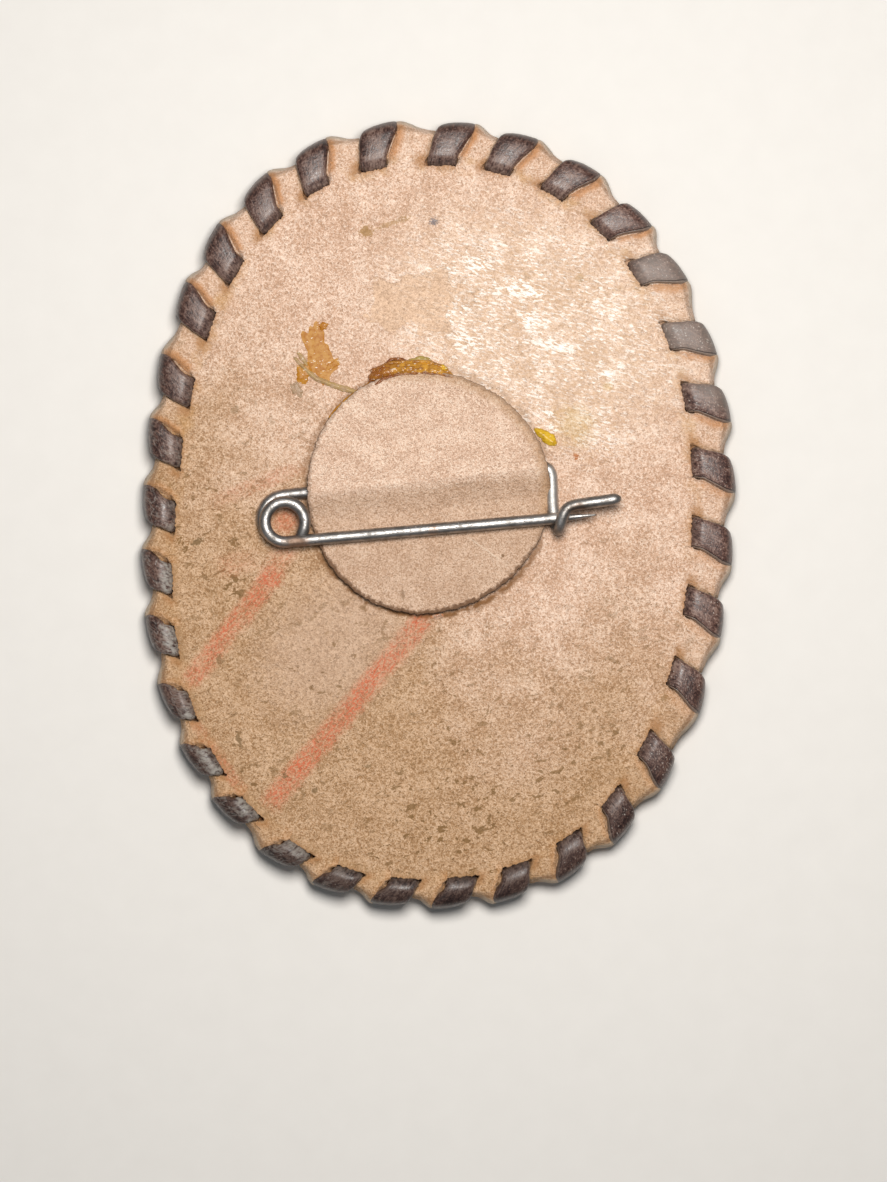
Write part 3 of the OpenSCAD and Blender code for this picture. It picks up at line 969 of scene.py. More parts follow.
def wriggle(spot, size, width, twist=0.8):
    """Thin curling lines, like loose fibres: where a cloudy noise crosses its middle."""
    return fall(abs(mottle(spot, size, 2.0, 0.5, twist) - 0.5), 0.0, width)


def parts_of(spot):
    """The spot's three values."""
    return [spot.node("SeparateXYZ", {}, {0: spot}, axis) for axis in "XYZ"]


def patch_mask(x, y, centre, long_half, short_half, degrees, ragged, soft=0.25):
    """1 inside an oval area whose edge is moved by a ragged value."""
    cos, sin = math.cos(math.radians(degrees)), math.sin(math.radians(degrees))
    dx = x - centre[0]
    dy = y - centre[1]
    along = (dx * cos + dy * sin) / long_half
    across = (dy * cos - dx * sin) / short_half
    far = (along * along + across * across) ** 0.5 + ragged
    return fall(far, 1 - soft, 1 + soft)


def stripe_mask(x, y, start, end, half, ragged):
    """1 along a straight rubbed stripe, fading at its ragged sides."""
    length = math.dist(start, end)
    cos, sin = (end[0] - start[0]) / length, (end[1] - start[1]) / length
    dx = x - start[0]
    dy = y - start[1]
    along = dx * cos + dy * sin
    across = abs(dy * cos - dx * sin + ragged * 0.6) + ragged
    ends = rise(along, -1.0, 1.0) * fall(along, length - 1.5, length + 1.0)
    return fall(across, half * 0.45, half * 1.4) * ends


def begin(name):
    """A new material: its shader, and the place on the piece in millimetres."""
    material = bpy.data.materials.new(name)
    material.use_nodes = True
    tree = material.node_tree
    shader = tree.nodes["Principled BSDF"]
    place = Socket(tree).node("TexCoord", {}, {}, "Object")
    spot = place.node("VectorMath", {"operation": "SCALE"}, {0: place, "Scale": 1 / MM})
    return material, shader, spot


def dress(piece, material):
    """Gives a piece its finish."""
    piece.data.materials.append(material)
    print(piece.name, "has", material.name, "of", len(material.node_tree.nodes), "nodes")


def attribute(spot, name):
    return spot.node("Attribute", {"attribute_name": name}, {}, "Vector")


def relief(height):
    """Turns a height in millimetres into a bump."""
    return height.node("Bump", {}, {"Height": height, "Distance": MM, "Strength": 1.0})


def finish(shader, **sockets):
    """Sets or links the shader's sockets, named with _ for a space."""
    for name, value in sockets.items():
        target = shader.inputs[name.replace("_", " ")]
        if isinstance(value, Socket):
            shader.id_data.links.new(value.socket, target)
        else:
            target.default_value = value

# %% [markdown]
# The flesh side of vegetable-tanned leather is felted fibre. Its look is built up in layers:
# fine light and dark fibres in three directions, grain of a third of a millimetre, slow
# clouds, a few curled fibres and small pits. Their sum is a lightness, and a ramp of three
# tones turns it into colour, so that the same fibres can be clean or soiled. A picture of
# leather would be quicker, but noise has no seams, never repeats and stays sharp close up.

# %% Flesh side of the leather
# [dark, middle, pale] tones, where the leather is clean and where hands have soiled it; the soiled
# tones are also darker as painted shade
CLEAN = ((0.49, 0.295, 0.19), (0.665, 0.455, 0.335), (0.82, 0.635, 0.51))
SOILED_AND_SHADED = ((0.31, 0.165, 0.07), (0.478, 0.298, 0.168), (0.62, 0.42, 0.27))


def fibres(spot, size):
    """Felted fibres: how light they are, from 0 to 1."""
    bend = spot.node("TexNoise", {}, {"Vector": spot, "Scale": 1.1 / size, "Detail": 1.0}, 1)
    bent = spot.node("VectorMath", {"operation": "ADD"}, {0: spot, 1: shade(bend, 0.8 * size)})
    one = strands(bent, 12, 0.6 * size, 0.12 * size)
    two = strands(bent, 74, 0.5 * size, 0.11 * size)
    three = strands(bent, 138, 0.55 * size, 0.12 * size)
    return one.most(two).most(three)


def flesh(spot, size=1.0):
    """Felted flesh-side leather: its lightness and its height."""
    fine = mottle(spot, 0.15 * size, 1.0, 0.6)
    grain = mottle(spot, 0.34 * size, 2.0, 0.6, 0.5)
    cloud = mottle(spot, 2.2 * size, 4.0, 0.55)
    felt = fibres(spot, size)
    curls = wriggle(spot, 0.6 * size, 0.08, 0.4)
    broken = rise(mottle(spot, 1.1 * size, 2.0), 0.45, 0.62)
    pits = rise(mottle(spot, 0.27 * size, 1.0, 0.5), 0.62, 0.70)
    light = (0.56 + (fine - 0.5) * 1.3 + (grain - 0.5) * 0.7 + (cloud - 0.5) * 0.7
             + (felt - 0.6) * 1.9 - curls * broken * 0.2 - pits * 0.3)
    height = fine * 0.05 + grain * 0.06 + felt * 0.13 - curls * 0.02 - pits * 0.04
    return light, height

# %% [markdown]
# Hands have soiled the lower left, where the leather is yellower and full of olive-brown
# crumbs and blots. Its soiled tones are also darker as painted shade, since the lamp lights
# the lower left less. One soft mask from the upper right to the lower left mixes the two sets
# of tones, and the crumbs are noise cut off high up, so that only its peaks are left.

# %% Soil and painted shade on the leather
SOIL = (0.215, 0.115, 0.04)


def soiled_flesh(spot, x, y, light, slow, groups, ragged):
    """The colour of the clean leather and of the soiled, shade-darkened leather, and its flecks.
    """
    # This mask darkens the lower left, as soil and as painted shade where the lamp light is weaker
    soiled_and_shaded = fall(x * 0.7 + y * 0.75 - rise(x, 5, 22) * 13 + slow * 22, -19, 6)
    dirty = soiled_and_shaded * (0.35 + rise(slow, -0.1, 0.12) * 0.65)
    lilac = patch_mask(x, y, (-10.4, -12.6), 7.5, 5.5, 40, ragged * 0.6, 0.6)
    flecks = rise(mottle(spot, 0.62, 3.0, 0.6, 0.3), 0.60, 0.68)
    crumbs = rise(mottle(turned(spot, 20, (1.4, 1, 1)), 0.85, 3.0, 0.6, 0.4), 0.605, 0.64)
    blots = rise(mottle(turned(spot, 70, (1.5, 1, 1)), 1.9, 4.0, 0.65), 0.62, 0.74)
    colour = tint(soiled_and_shaded, tone(light + groups * 0.4, CLEAN), tone(light, SOILED_AND_SHADED))
    colour = paint(colour, (lilac * 0.4, (0.58, 0.41, 0.31)), (flecks * 0.14, (0.42, 0.22, 0.09)),
                   (crumbs * (0.08 + 0.9 * dirty), SOIL),
                   (blots * (0.06 + 0.4 * dirty), (0.30, 0.17, 0.065)))
    return colour, flecks

# %% [markdown]
# Near the rim the leather is burnished brown where the lace rubs it, the slits are stained,
# and the cut edge is a paler grey. Just counter-clockwise of each stitch, where the rim is
# drawn in, a soft brown strip is painted shade. The mesh carries these places as values of
# its points: how far a point is between two stitches, how far in from the edge, and how deep
# the slit lies. From X and Y alone, a material couldn't find the scallops and the slanted
# stitches. A thin dark line of old glue and dust follows the patch, with a painted shadow of
# the patch's edge that is strongest below it.

# %% Stains and painted shade along the slits, the rim and the patch
CUT_EDGE = (0.58, 0.49, 0.38)
OCHRE = (0.50, 0.27, 0.09)


def rim_stains(spot, colour, x, y, rough_noise, ragged):
    rim_v, inset, depth = parts_of(attribute(spot, "rim_place"))
    stain = rise(mottle(spot, 2.4, 2.0), 0.40, 0.62)
    near_slit = fall(abs(inset - depth - 0.2) + ragged * 0.8, 0.2, 1.3)
    corner = fall(abs(inset - depth + 0.1) + ragged * 0.5, 0.2, 1.0) * fall(rim_v, 0.1, 0.45)
    by_rim = fall(inset + ragged * 0.5, 1.4, depth + 0.4)
    rusty = rise(rim_v + rough_noise * 0.15, 0.66, 0.86) * fall(inset + ragged * 0.3, 2.8, 3.7)
    # Painted shade: a soft brown strip where the rim is drawn in, just counter-clockwise of each
    # stitch
    tucked_shade = fall(rim_v, 0.0, 0.16) * fall(inset, 2.8, 3.6) * rise(rim_v, -0.1, 0.03)
    edge_at = inset + ragged * 0.22
    line = fall(abs(edge_at - 0.62), 0.05, 0.28) * rise(rim_v, 0.3, 0.6)
    cut = fall(edge_at, 0.12, 0.5) * rise(rim_v, 0.22, 0.5)
    from_patch = ((x - patch_at[0]) ** 2 + (y - patch_at[1]) ** 2) ** 0.5
    # Old glue and dust round the patch's foot, with painted shadow of its edge, stronger on its
    # lower side
    glue_line_and_shadow = fall(abs(from_patch - patch_d / 2 - 0.25 + ragged * 0.55), 0.08, 0.55)
    glue_line_and_shadow = glue_line_and_shadow * (0.55 + fall(y, -9, 0) * 0.45) * rise(mottle(spot, 1.3, 3.0), 0.34, 0.52)
    return paint(colour, (near_slit * stain * (0.14 + rise(y, -8, 16) * 0.4), OCHRE),
                 (corner * 0.75, (0.35, 0.16, 0.055)), (by_rim * 0.1, (0.46, 0.26, 0.12)),
                 (rusty * (0.22 + rise(y, -6, 16) * 0.5), (0.48, 0.20, 0.06)),
                 (tucked_shade * 0.4, (0.36, 0.22, 0.11)), (line * 0.5, (0.28, 0.14, 0.06)),
                 (cut * 0.7, CUT_EDGE), (glue_line_and_shadow, (0.22, 0.10, 0.035)))

# %% [markdown]
# Marks of the badge's life come next. Red crayon was rubbed on in strokes: it caught only on
# the high fibres, so each stroke is a stripe broken up by noise. Small brown spots lie on
# top, each with an edge that a finer noise has nibbled.

# %% Crayon and spots
CRAYON = (0.56, 0.135, 0.06)
# [start, end, half width, strength] of the rubbed crayon strokes, in millimetres
STROKES = [
    [(-16.0, -5.6), (-24.4, -16.4), 1.0, 0.95],
    [(-1.3, -10.0), (-16.6, -28.4), 1.05, 1.0],
    [(-23.8, -20.6), (-19.2, -27.2), 0.60, 0.40],
    [(-13.6, 4.6), (-22.2, 1.2), 0.75, 0.36],
    [(-14.6, -2.6), (-17.0, -7.0), 1.2, 0.4],
    [(-18.0, -4.4), (-21.5, -5.2), 1.1, 0.3]]
BROWN = (0.36, 0.20, 0.07)
DARK = (0.20, 0.12, 0.05)
# [centre, size across, size up, strength, colour] of small spots
SPOTS = [
    [(-7.1, 27.8), 0.60, 0.55, 0.85, BROWN], [(-0.45, 28.7), 0.42, 0.34, 0.95, (0.12, 0.10, 0.12)],
    [(-4.6, 28.6), 1.60, 0.22, 0.6, BROWN], [(-3.3, 28.9), 0.40, 0.22, 0.5, BROWN],
    [(13.9, 23.2), 0.42, 0.36, 0.95, BROWN], [(8.6, 23.4), 0.25, 0.4, 0.5, BROWN],
    [(13.5, 5.7), 0.26, 0.34, 0.95, (0.40, 0.12, 0.02)], [(14.9, 26.6), 0.55, 0.2, 0.5, BROWN],
    [(17.5, 22.0), 0.4, 0.3, 0.4, BROWN], [(-23.7, -2.7), 0.6, 0.3, 0.9, DARK],
    [(-20.0, 10.3), 0.45, 0.35, 0.5, DARK], [(-19.6, -22.0), 0.25, 0.6, 0.8, DARK],
    [(-15.0, -25.6), 0.3, 0.25, 0.8, DARK], [(-12.2, -27.0), 0.3, 0.25, 0.8, DARK],
    [(-21.5, -14.2), 0.35, 0.5, 0.6, DARK], [(-6.9, -24.6), 0.3, 0.22, 0.7, DARK]]


def rubbed_marks(spot, colour, x, y, ragged):
    waxed = rise(mottle(turned(spot, 50, (1.4, 0.8, 1)), 0.28, 2.0, 0.65), 0.43, 0.62)
    rubbed = rise(mottle(spot, 3.4, 2.0), 0.34, 0.58)
    for start, end, half, strength in STROKES:
        mask = stripe_mask(x, y, start, end, half, ragged * 0.55)
        mask = mask * (0.32 + waxed * 0.68) * (0.5 + rubbed * 0.5)
        colour = tint(mask * strength, colour, CRAYON)
    # Where the crayon shows through the eye of the coil
    eye = patch_mask(x, y, (-15.0, -0.6), 1.2, 1.1, 0, ragged * 0.4, 0.5)
    colour = tint(eye * (0.3 + waxed * 0.3), colour, CRAYON)
    nibbled = (mottle(spot, 0.3, 3.0, 0.6) - 0.5) * 3.2
    for centre, wide, tall, strength, stain_tone in SPOTS:
        mask = patch_mask(x, y, centre, wide, tall, 20, nibbled, 0.35)
        colour = tint(mask * strength, colour, stain_tone)
    return colour


print(len(STROKES), "crayon strokes and", len(SPOTS), "spots")

# %% [markdown]
# A thin film of dried glue covers the upper right. It fills the fibres, so the leather there
# is smoother, and its high places shine. Those glints are finer than the bump can give from
# any distance, so the brightest are painted as pale granules: painted highlights. The film
# is also painted paler, partly as its own colour and partly as painted sheen. One patch of
# film, to the left of the rest, dried tan and smooth; the upper right of its rim is painted
# white as a highlight.

# %% Dried film
PAINTED_GLINT = (1.0, 0.95, 0.88)
# [centre, half length, half width, turn] of the places where the dried film's shine is painted
# white, as painted highlights
PAINTED_SHINES = [
    [(3.7, 24.5), 1.5, 0.9, -15], [(8.4, 22.0), 2.6, 0.9, -12], [(8.8, 19.1), 1.5, 1.0, -15],
    [(11.2, 16.6), 2.4, 0.5, -8], [(2.6, 20.6), 0.6, 0.5, -15], [(1.3, 24.0), 0.7, 0.4, -15],
    [(16.4, 13.8), 0.5, 0.4, -20], [(10.9, 9.9), 0.9, 0.3, -10], [(11.2, 8.4), 0.6, 0.35, -28],
    [(2.5, 17.0), 1.5, 0.9, -15]]


def dried_film(spot, colour, x, y, light, groups, ragged):
    """The colour with the film on it, its roughness, and its share of tan coat and of bumps."""
    # The film is painted paler here, partly as its own colour and partly as painted sheen
    pale_film_and_sheen = patch_mask(x, y, (9.6, 18.6), 13.5, 9.5, -22, ragged * 0.35, 0.55)
    wet = patch_mask(x, y, (13.0, 11.0), 6.5, 4.5, -40, ragged * 0.5, 0.5)
    glaze = pale_film_and_sheen.most(wet)
    granules = mottle(turned(spot, -16, (1.7, 0.55, 1)), 0.4, 3.0, 0.65, 0.6)
    painted_shine_area = glaze * 0
    for centre, long_half, short_half, degrees in PAINTED_SHINES:
        painted_shine_area = painted_shine_area.most(patch_mask(x, y, centre, long_half, short_half, degrees,
                                      ragged * 0.5, 0.5))
    dim = fall(granules + groups * 0.3, 0.40, 0.52) * glaze
    # Painted highlights: the brightest glints of the film, as pale granules
    painted_film_glints = (rise(granules + painted_shine_area * 0.1 + groups * 0.32, 0.57, 0.61)
             * (pale_film_and_sheen * 0.85).most(painted_shine_area).most(wet * 0.7))

    scallops = (mottle(spot, 2.2, 3.0) - 0.5) * 1.8 + ragged * 0.3
    coat = patch_mask(x, y, (-2.0, 20.9), 5.0, 3.1, 4, scallops, 0.05)
    # Painted highlight: the upper right of the coat's rim is painted white
    coat_rim_glint = patch_mask(x, y, (-2.0, 20.9), 5.3, 3.35, 4, scallops, 0.07) * (1 - coat)
    coat_rim_glint = coat_rim_glint * rise(x + y * 0.5, 6, 12) * rise(granules, 0.4, 0.6)
    scored = wriggle(turned(spot, 30, (1.6, 0.7, 1)), 0.7, 0.05)
    coat_tone = tint(scored * 0.6, (0.62, 0.41, 0.265), (0.36, 0.21, 0.12))
    coat_tone = shade(coat_tone, 0.7 + light * 0.55)
    yellow = patch_mask(x, y, (13.4, 8.8), 1.9, 1.7, -40, ragged * 0.9, 0.6)
    yellow = yellow.most(patch_mask(x, y, (16.6, 12.6), 0.5, 0.4, 0, ragged * 0.5, 0.4))
    colour = paint(colour, (pale_film_and_sheen * 0.34, (0.96, 0.80, 0.65)), (dim * 0.5, (0.58, 0.35, 0.18)),
                   (painted_film_glints * 0.9, PAINTED_GLINT), (coat * 0.75, coat_tone), (coat_rim_glint * 0.5, PAINTED_GLINT),
                   (yellow * 0.3, (0.60, 0.42, 0.12)))
    rough = 0.8 - glaze * 0.25 - coat * 0.1 - painted_film_glints * 0.2
    return colour, rough, coat, granules * glaze * 0.12


print(len(PAINTED_SHINES), "places where the dried film shines")

# %% [markdown]
# The finish puts these layers together. The same mesh also has the front, which lies on the
# table: the height of a point tells the two apart, and the front gets plain smooth grain.

# %% Leather oval's finish
FRONT = ((0.46, 0.28, 0.16), (0.58, 0.38, 0.24), (0.66, 0.46, 0.31))


def leather_finish():
    material, shader, spot = begin("flesh_side_leather")
    x, y, z = parts_of(spot)
    light, height = flesh(spot)
    rough_noise = mottle(spot, 0.9, 4.0, 0.65) - 0.5
    ragged = rough_noise * 1.6
    slow = mottle(spot, 9, 2.0) - 0.5
    groups = mottle(spot, 2.1, 3.0, 0.6) - 0.5
    colour, flecks = soiled_flesh(spot, x, y, light, slow, groups, ragged)
    colour = rim_stains(spot, colour, x, y, rough_noise, ragged)
    colour = rubbed_marks(spot, colour, x, y, ragged)
    colour, rough, coat, film_bumps = dried_film(spot, colour, x, y, light, groups, ragged)

    back = rise(z, front_z + 0.7, front_z + 1.5)
    pebbles = mottle(spot, 0.7, 2.0, 0.5)
    smooth_side = tone(0.5 + (pebbles - 0.5) * 0.6 + slow * 0.5, FRONT)
    bumps = height * (1 - coat * 0.5) + film_bumps - flecks * 0.03
    finish(shader, Base_Color=tint(back, smooth_side, colour),
           Normal=relief(bumps * back + pebbles * 0.05 * (1 - back)),
           Roughness=0.5 + (rough - 0.5) * back,
           Specular_IOR_Level=0.4, Sheen_Weight=0.06, Sheen_Roughness=0.5)
    return material


dress(oval, leather_finish())

# %% [markdown]
# The lace has a smooth dyed grain with fine pores. Where it bends into a slit the dye has
# cracked away and pale fibres show, most of all on the left, and a band along the bend is
# painted lighter as a highlight. Inside the slit the lace is painted dark as shade, and the
# whole lace is painted darker towards the bottom as shade. On the right it is dusty and
# lighter, and two stitches at the upper right have greyed. Its cut edges are lighter. The
# grain reads the place along and across the lace, not X and Y, so it follows every turn
# without stretching.

# %% Lace's finish
LACE_TONES = ((0.028, 0.013, 0.011), (0.088, 0.043, 0.033), (0.19, 0.12, 0.095))
LACE_PALE = (0.31, 0.29, 0.26)


def lace_finish():
    material, shader, spot = begin("dyed_lace_leather")
    x, y = parts_of(spot)[:2]
    across, along = parts_of(attribute(spot, "lace_place"))[:2]
    grain_spot = attribute(spot, "grain_place")
    ragged = (mottle(grain_spot, 0.5, 4.0, 0.65) - 0.5) * 3.0
    slow = mottle(grain_spot, 1.7, 3.0)
    grain = mottle(grain_spot, 0.36, 3.0, 0.65)
    pores = mottle(grain_spot, 0.15, 2.0, 0.6)
    streaks = strands(grain_spot, 90, 1.0, 0.15, 3.0)
    left = fall(x + y * 0.35, -29, -17)
    right = rise(x, 4, 24)
    low = fall(y, -34, -8)
    # Painted highlight: a lighter band where the lace bends towards its slit
    bent = fall(abs(along - 1.15 + ragged * 0.15), 0.1, 0.75)
    light = (0.46 + (slow - 0.5) * 0.9 + (grain - 0.5) * 1.2 + (pores - 0.5) * 1.5
             + (streaks - 0.5) * (1 - right * 0.6) + bent * 0.22 * (1 - right * 0.8))

    greyed = patch_mask(x, y, (25.5, 19.0), 10.0, 4.5, -60, ragged * 0.05, 0.2)
    frayed = left * fall(abs(y + 18), 12, 20) * rise(mottle(spot, 3.0, 1.0), 0.36, 0.5)
    worn = fall(along + ragged * 0.6 - frayed * 0.5, 0.2, 1.1) * rise(grain, 0.32, 0.6)
    cracks = wriggle(turned(grain_spot, 20, (1.0, 1.5, 1)), 0.85, 0.05)
    cracked = cracks * left * rise(grain, 0.36, 0.54)
    dust = rise(mottle(grain_spot, 0.13, 0.0), 0.74, 0.79)
    cut = rise(across + ragged * 0.01, 0.93, 0.98)
    other_edge = across * -1
    bevel = rise(other_edge, 0.87, 0.9)
    line = rise(other_edge, 0.81, 0.85) * fall(other_edge, 0.87, 0.91) * (0.25 + right * 0.75)
    # Painted shade: the lace is darkened inside its slit
    painted_slit_shade = fall(along + ragged * 0.35, -0.25, 0.2)
    # Lighter towards the right and darker towards the bottom; the darkening at the bottom is
    # painted shade
    colour = shade(tone(light, LACE_TONES), 0.92 + right * 0.28 - low * 0.42)
    colour = paint(colour, (greyed * 0.5, (0.27, 0.225, 0.195)),
                   (worn * (0.1 + left * 0.25 + frayed * 0.5), LACE_PALE),
                   (cracked * 0.35, LACE_PALE), (dust * (0.15 + right * 0.4), (0.60, 0.54, 0.48)),
                   (cut * 0.4, (0.30, 0.24, 0.19)), (bevel * right * 0.5, (0.30, 0.23, 0.18)),
                   (line * 0.8, (0.025, 0.014, 0.011)), (painted_slit_shade * 0.6, (0.05, 0.03, 0.02)))
    rough = 0.42 + (pores - 0.5) * 0.7 + (slow - 0.5) * 0.2 + worn * 0.2 + greyed * 0.1
    normal = relief(pores * 0.014 + grain * 0.03 + streaks * 0.02 + slow * 0.06 - line * 0.04
                    - cracked * 0.03)
    finish(shader, Base_Color=colour, Roughness=rough, Normal=normal, Specular_IOR_Level=0.5)
    return material


dress(lace, lace_finish())

# %% [markdown]
# The patch is the same leather, thinner and cleaner. Its cut edge is dark with old glue and
# dust, most of all at the bottom, where painted shadow is added, and its thin side wall is
# painted nearly black as shade. Below the ridge its face gets darker tones as painted shade,
# on the slope that turns from the lamp, and a brown band along its upper right edge is
# painted shade where the edge curls down. A pale crease, a scratch, a nick and a dot mark it.
# Calling `flesh` again with a smaller size keeps the two leathers alike.

# %% Patch's finish
PATCH_CLEAN = ((0.46, 0.29, 0.195), (0.67, 0.465, 0.345), (0.81, 0.65, 0.52))
PATCH_SHADED = ((0.38, 0.23, 0.14), (0.545, 0.365, 0.255), (0.67, 0.495, 0.37))


def patch_finish():
    material, shader, spot = begin("patch_flesh_leather")
    x, y = parts_of(spot)[:2]
    inwards, below = parts_of(attribute(spot, "edge_place"))[:2]
    light, height = flesh(spot, 0.8)
    rough_noise = mottle(spot, 0.7, 4.0, 0.6) - 0.5
    ragged = rough_noise * 0.9
    bitten = (mottle(spot, 0.45, 3.0, 0.6) - 0.5) * 2.2
    # Painted shade: the face below the ridge, on the slope that turns from the lamp, gets darker
    # tones
    below_ridge_shade = fall(y - x * 0.11 + rough_noise * 0.8, 2.2, 3.6)
    dusty = rise(mottle(spot, 0.6, 3.0, 0.6), 0.64, 0.74)
    # Painted shade: a brown band along the upper right edge, where the patch curls down
    upper_right_edge_shade = fall(inwards + ragged, 0.2, 1.3) * rise(x + y, 6, 12)
    # Old glue and dust darken the cut edge, with painted shadow growing towards the bottom; the
    # side wall is painted nearly black as shade
    lower_edge_shade = fall(y - patch_at[1] + x * 0.15, -8, -1)
    edge_glue_and_shade = fall(inwards - lower_edge_shade * 0.06 + bitten * 0.4 + ragged * 0.6, 0.0, 0.3)
    side = rise(below, 0.02, 0.12)
    crease = stripe_mask(x, y, (2.9, -2.2), (6.3, -4.6), 0.06, ragged * 0.08)
    scratch = stripe_mask(x, y, (1.4, 2.9), (4.1, 3.2), 0.1, ragged * 0.05)
    nick = patch_mask(x, y, (-3.5, -7.8), 0.16, 0.55, 5, ragged * 0.4, 0.4)
    dot = patch_mask(x, y, (6.3, -4.0), 0.16, 0.16, 0, ragged * 0.2, 0.3)
    colour = tint(below_ridge_shade, tone(light, PATCH_CLEAN), tone(light, PATCH_SHADED))
    colour = paint(colour, (dusty * 0.25, (0.40, 0.25, 0.13)),
                   (upper_right_edge_shade * 0.55, (0.40, 0.23, 0.11)),
                   (edge_glue_and_shade * (0.4 + 0.5 * lower_edge_shade), (0.13, 0.06, 0.025)),
                   (side * (0.9 + bitten * 0.2), (0.08, 0.038, 0.018)),
                   (crease * 0.4, (0.82, 0.68, 0.54)),
                   (scratch * 0.35 + nick * 0.6 + dot * 0.9, (0.20, 0.11, 0.05)))
    normal = relief(height * 0.8 - nick * 0.05 + crease * 0.03)
    finish(shader, Base_Color=colour, Roughness=0.8, Normal=normal,
           Specular_IOR_Level=0.35, Sheen_Weight=0.06, Sheen_Roughness=0.5)
    return material


dress(patch, patch_finish())

# %% [markdown]
# The wire is old nickel-plated steel: bright along its crown, greyed in patches, with fine
# scratches along it and a brown tint where it has begun to rust. A film of glue has made the
# upright leg of its hook paler. Where the hook's tail crosses over the stem, near the stem's
# tip, the steel is painted dark as a shadow. Metal shows little of its own colour and mostly
# reflects, so the wear is told by its roughness and bump as much as by its colour.

# %% Steel's finish
def steel_finish():
    material, shader, spot = begin("worn_pin_steel")
    x, y = parts_of(spot)[:2]
    clouds = mottle(spot, 1.3, 3.0, 0.6)
    patchy = clouds - 0.5
    grime = rise(mottle(spot, 0.5, 4.0, 0.65), 0.46, 0.66)
    scratches = strands(spot, 5.5, 2.2, 0.09, 3.0)
    pits = rise(mottle(spot, 0.22, 2.0), 0.64, 0.72)
    rust = patch_mask(x, y, (-13.9, -2.8), 1.1, 0.7, 0, patchy * 2, 0.5)
    mark = patch_mask(x, y, (-0.5, -1.5), 0.45, 0.5, 0, patchy * 2, 0.4)
    # Painted shadow: dark steel where the hook's tail crosses over the stem, near its tip; the
    # pits below are real
    painted_tip_shadow = patch_mask(x, y, (13.6, 0.6), 1.3, 0.5, 10, patchy * 2, 0.5)
    filmed = patch_mask(x, y, (11.3, 2.2), 2.7, 0.9, 90, patchy * 1.2, 0.3)
    colour = tint(rise(clouds, 0.36, 0.66), (0.41, 0.395, 0.385), (0.25, 0.24, 0.23))
    colour = paint(colour, (grime * 0.45, (0.13, 0.11, 0.095)),
                   (rust * 0.6 + mark * 0.35, (0.30, 0.15, 0.07)),
                   ((painted_tip_shadow * 0.75).most(pits * 0.5), (0.10, 0.06, 0.035)),
                   (filmed * 0.55, (0.74, 0.72, 0.69)))
    rough = (0.42 + patchy * 0.22 + (scratches - 0.5) * 0.3 + grime * 0.12 + rust * 0.2
             + filmed * 0.12)
    normal = relief(scratches * 0.014 + clouds * 0.03 - pits * 0.02 + grime * 0.006)
    finish(shader, Base_Color=colour, Metallic=1.0, Roughness=rough, Normal=normal)
    return material


steel = steel_finish()
dress(pin_wire, steel)
dress(pin_stem, steel)

# %% [markdown]
# Dried glue is clear amber. It lets a little of the leather through where it is thin, is
# darkest where it pooled and at its left end, and has small pale glints, painted as
# highlights. Ridged glue is also the glossy kind; a smear is thin, flat and dull.
# Transmission would bend the light truly, but on pieces this thin a part-open Alpha looks
# the same, and it outlasts an export.

# %% Glue's finish
def glue_finish(name, thin, thick, clear, ridged):
    material, shader, spot = begin(name)
    clouds = mottle(spot, 0.5, 4.0, 0.65, 0.4)
    ridges = strands(spot, 8, 1.6, 0.22)
    pooled = rise(clouds, 0.38, 0.64)
    # Painted highlights: small pale glints on the glue
    painted_glue_glints = rise(mottle(turned(spot, 15, (1.6, 0.7, 1)), 0.32, 2.0, 0.6), 0.655, 0.69)
    left_end = fall(parts_of(spot)[0], -5.8, -3.2)
    colour = paint(tint(pooled, thin, thick),
                   (rise(ridges, 0.52, 0.66) * (0.65 * ridged), (0.17, 0.055, 0.012)),
                   (left_end * (0.7 * ridged), (0.22, 0.055, 0.012)),
                   (painted_glue_glints * 0.65, (0.95, 0.86, 0.72)))
    finish(shader, Base_Color=colour, Alpha=clear + pooled * (1 - clear) * 0.8,
           Normal=relief(ridges * 0.06 * ridged + clouds * 0.04),
           Roughness=0.42 - 0.18 * ridged, Specular_IOR_Level=0.1 + 0.4 * ridged)
    return material


# [name, colour where thin, colour where thick, least opacity, how ridged, its pieces]
GLUES = [
    ("amber_glue", (0.66, 0.33, 0.04), (0.34, 0.14, 0.02), 0.85, 1.0, amber_pieces),
    ("dark_glue", (0.42, 0.17, 0.04), (0.16, 0.045, 0.012), 0.7, 1.0, dark_pieces),
    ("smeared_glue", (0.56, 0.28, 0.06), (0.36, 0.13, 0.008), 0.8, 0.1, smear_pieces),
    ("foot_glue", (0.60, 0.28, 0.02), (0.42, 0.17, 0.01), 0.75, 0.3, foot_pieces),
    ("pale_glue", (0.70, 0.55, 0.30), (0.56, 0.42, 0.17), 0.55, 0.5, pale_pieces),
    ("yellow_glue", (0.72, 0.46, 0.03), (0.58, 0.34, 0.02), 0.85, 0.6, yellow_pieces),
    ("olive_glue", (0.52, 0.38, 0.10), (0.34, 0.25, 0.06), 0.6, 0.5, [blot]),
    ("grey_glue", (0.46, 0.36, 0.22), (0.30, 0.21, 0.10), 0.45, 0.4, [toe]),
    ("clear_glue", (0.84, 0.58, 0.42), (0.60, 0.24, 0.10), 0.5, 1.0, [drop])]
for name, thin, thick, clear, ridged, pieces in GLUES:
    glue = glue_finish(name, thin, thick, clear, ridged)
    for piece in pieces:
        dress(piece, glue)

# %% [markdown]
# The badge lies on a plain pale table. A soft round lamp hangs high over its upper edge, a
# little to the right, as the stem's short shadow shows, and a wide dim one fills the rest.
# The camera looks straight down from far off, so that nothing leans outwards.

# %% Table, lamps and camera
frame_centre = (0.486, -7.47)
frame_tall = 115.88
camera_h = 700.0
sensor_h = 36
table_w = 1.2


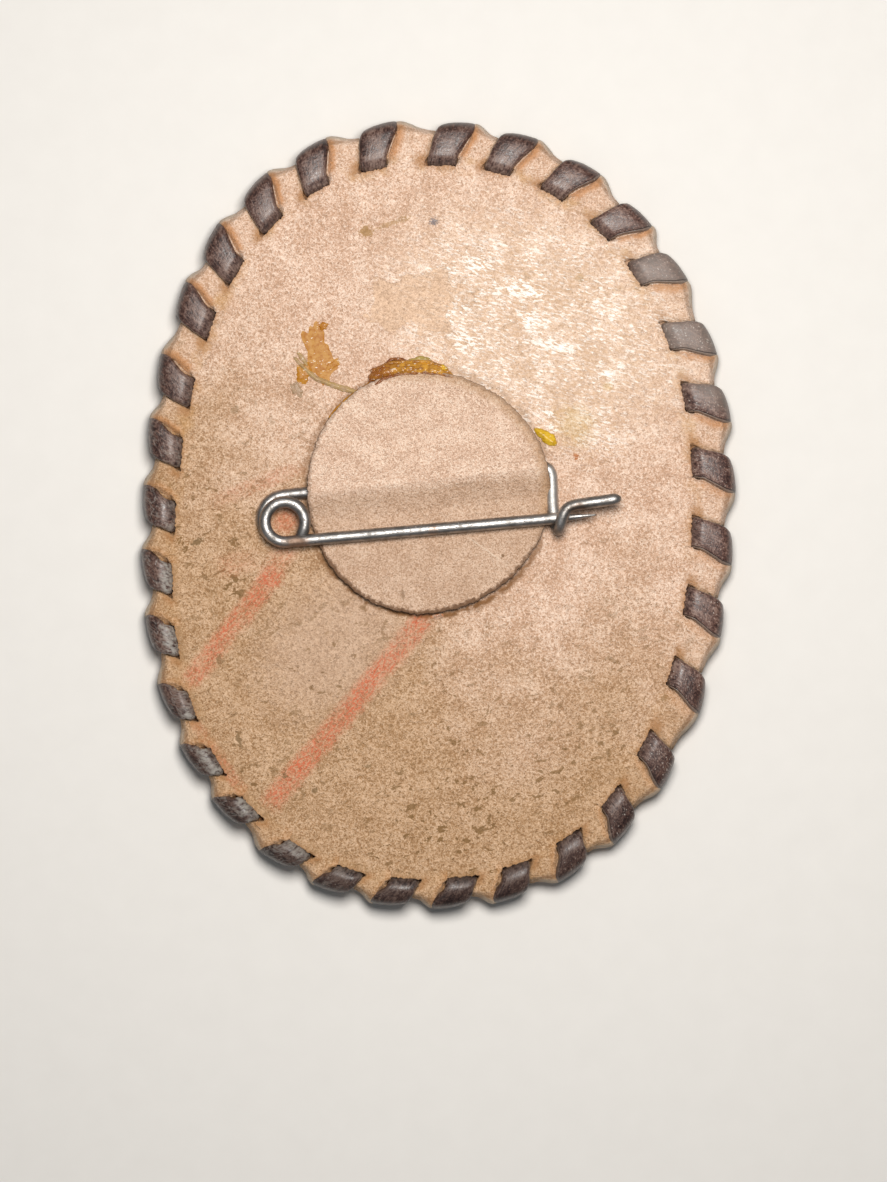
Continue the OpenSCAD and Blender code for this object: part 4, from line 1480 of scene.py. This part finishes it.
def table_finish():
    material, shader, spot = begin("pale_table")
    fleck = mottle(spot, 3.0, 4.0)
    colour = tint(fleck, (0.66, 0.64, 0.61), (0.70, 0.68, 0.65))
    finish(shader, Base_Color=colour, Roughness=0.7)
    return material


nothing_selected()
bpy.ops.mesh.primitive_plane_add(size=table_w, location=(0, 0, 0))
table = bpy.context.object
table.name = "table"
dress(table, table_finish())


def lamp(name, place, size, power, colour):
    nothing_selected()
    bpy.ops.object.light_add(type="AREA", location=[value * MM for value in place])
    light = bpy.context.object
    light.name = name
    light.data.shape = "DISK"
    light.data.size = size * MM
    light.data.energy = power
    light.data.color = colour
    aim = -light.location.normalized()
    light.rotation_euler = aim.to_track_quat("-Z", "Y").to_euler()


lamp("key_lamp", (14, 44, 230), 90, 0.69, (1.0, 0.97, 0.93))
lamp("fill_lamp", (-300, -350, 600), 500, 0.26, (0.95, 0.97, 1.0))
world = bpy.data.worlds.new("studio")
world.use_nodes = True
world.node_tree.nodes["Background"].inputs["Color"].default_value = (0.9, 0.95, 1.0, 1)
world.node_tree.nodes["Background"].inputs["Strength"].default_value = 0.13
bpy.context.scene.world = world
bpy.context.scene.view_settings.view_transform = "Standard"

nothing_selected()
bpy.ops.object.camera_add(location=(frame_centre[0] * MM, frame_centre[1] * MM,
                                    (camera_h + back_z) * MM), rotation=(0, 0, 0))
camera = bpy.context.object
camera.data.sensor_fit = "VERTICAL"
camera.data.sensor_height = sensor_h
camera.data.lens = sensor_h * camera_h / frame_tall
camera.data.clip_start = 0.01
bpy.context.scene.camera = camera
print("Camera", camera_h, "mm above the badge, lens", round(camera.data.lens, 1))

# %% [markdown]
# Last, each piece is tied to the body that carries it, and the solid that it stands for is
# hidden. The stem has a body of its own, so that the pin can be squeezed open. The loose glue
# has no solid: it only rides along.

# %% Ties to the frame
STANDS_FOR = [
    (oval, "leather_oval", "oval_leather", "badge"),
    (lace, "edge_lace", "lace_leather", "badge"),
    (patch, "backing_patch", "patch_leather", "badge"),
    (bead, "glue_bead", "dried_glue", "badge"),
    (pin_wire, "pin_wire", "wire_steel", "badge"),
    (pin_stem, "pin_stem", "stem_steel", "stem")]
for piece, node, slot, body in STANDS_FOR:
    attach(piece, body)
    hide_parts(node)
for piece in glue_pieces[1:]:
    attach(piece, "badge")
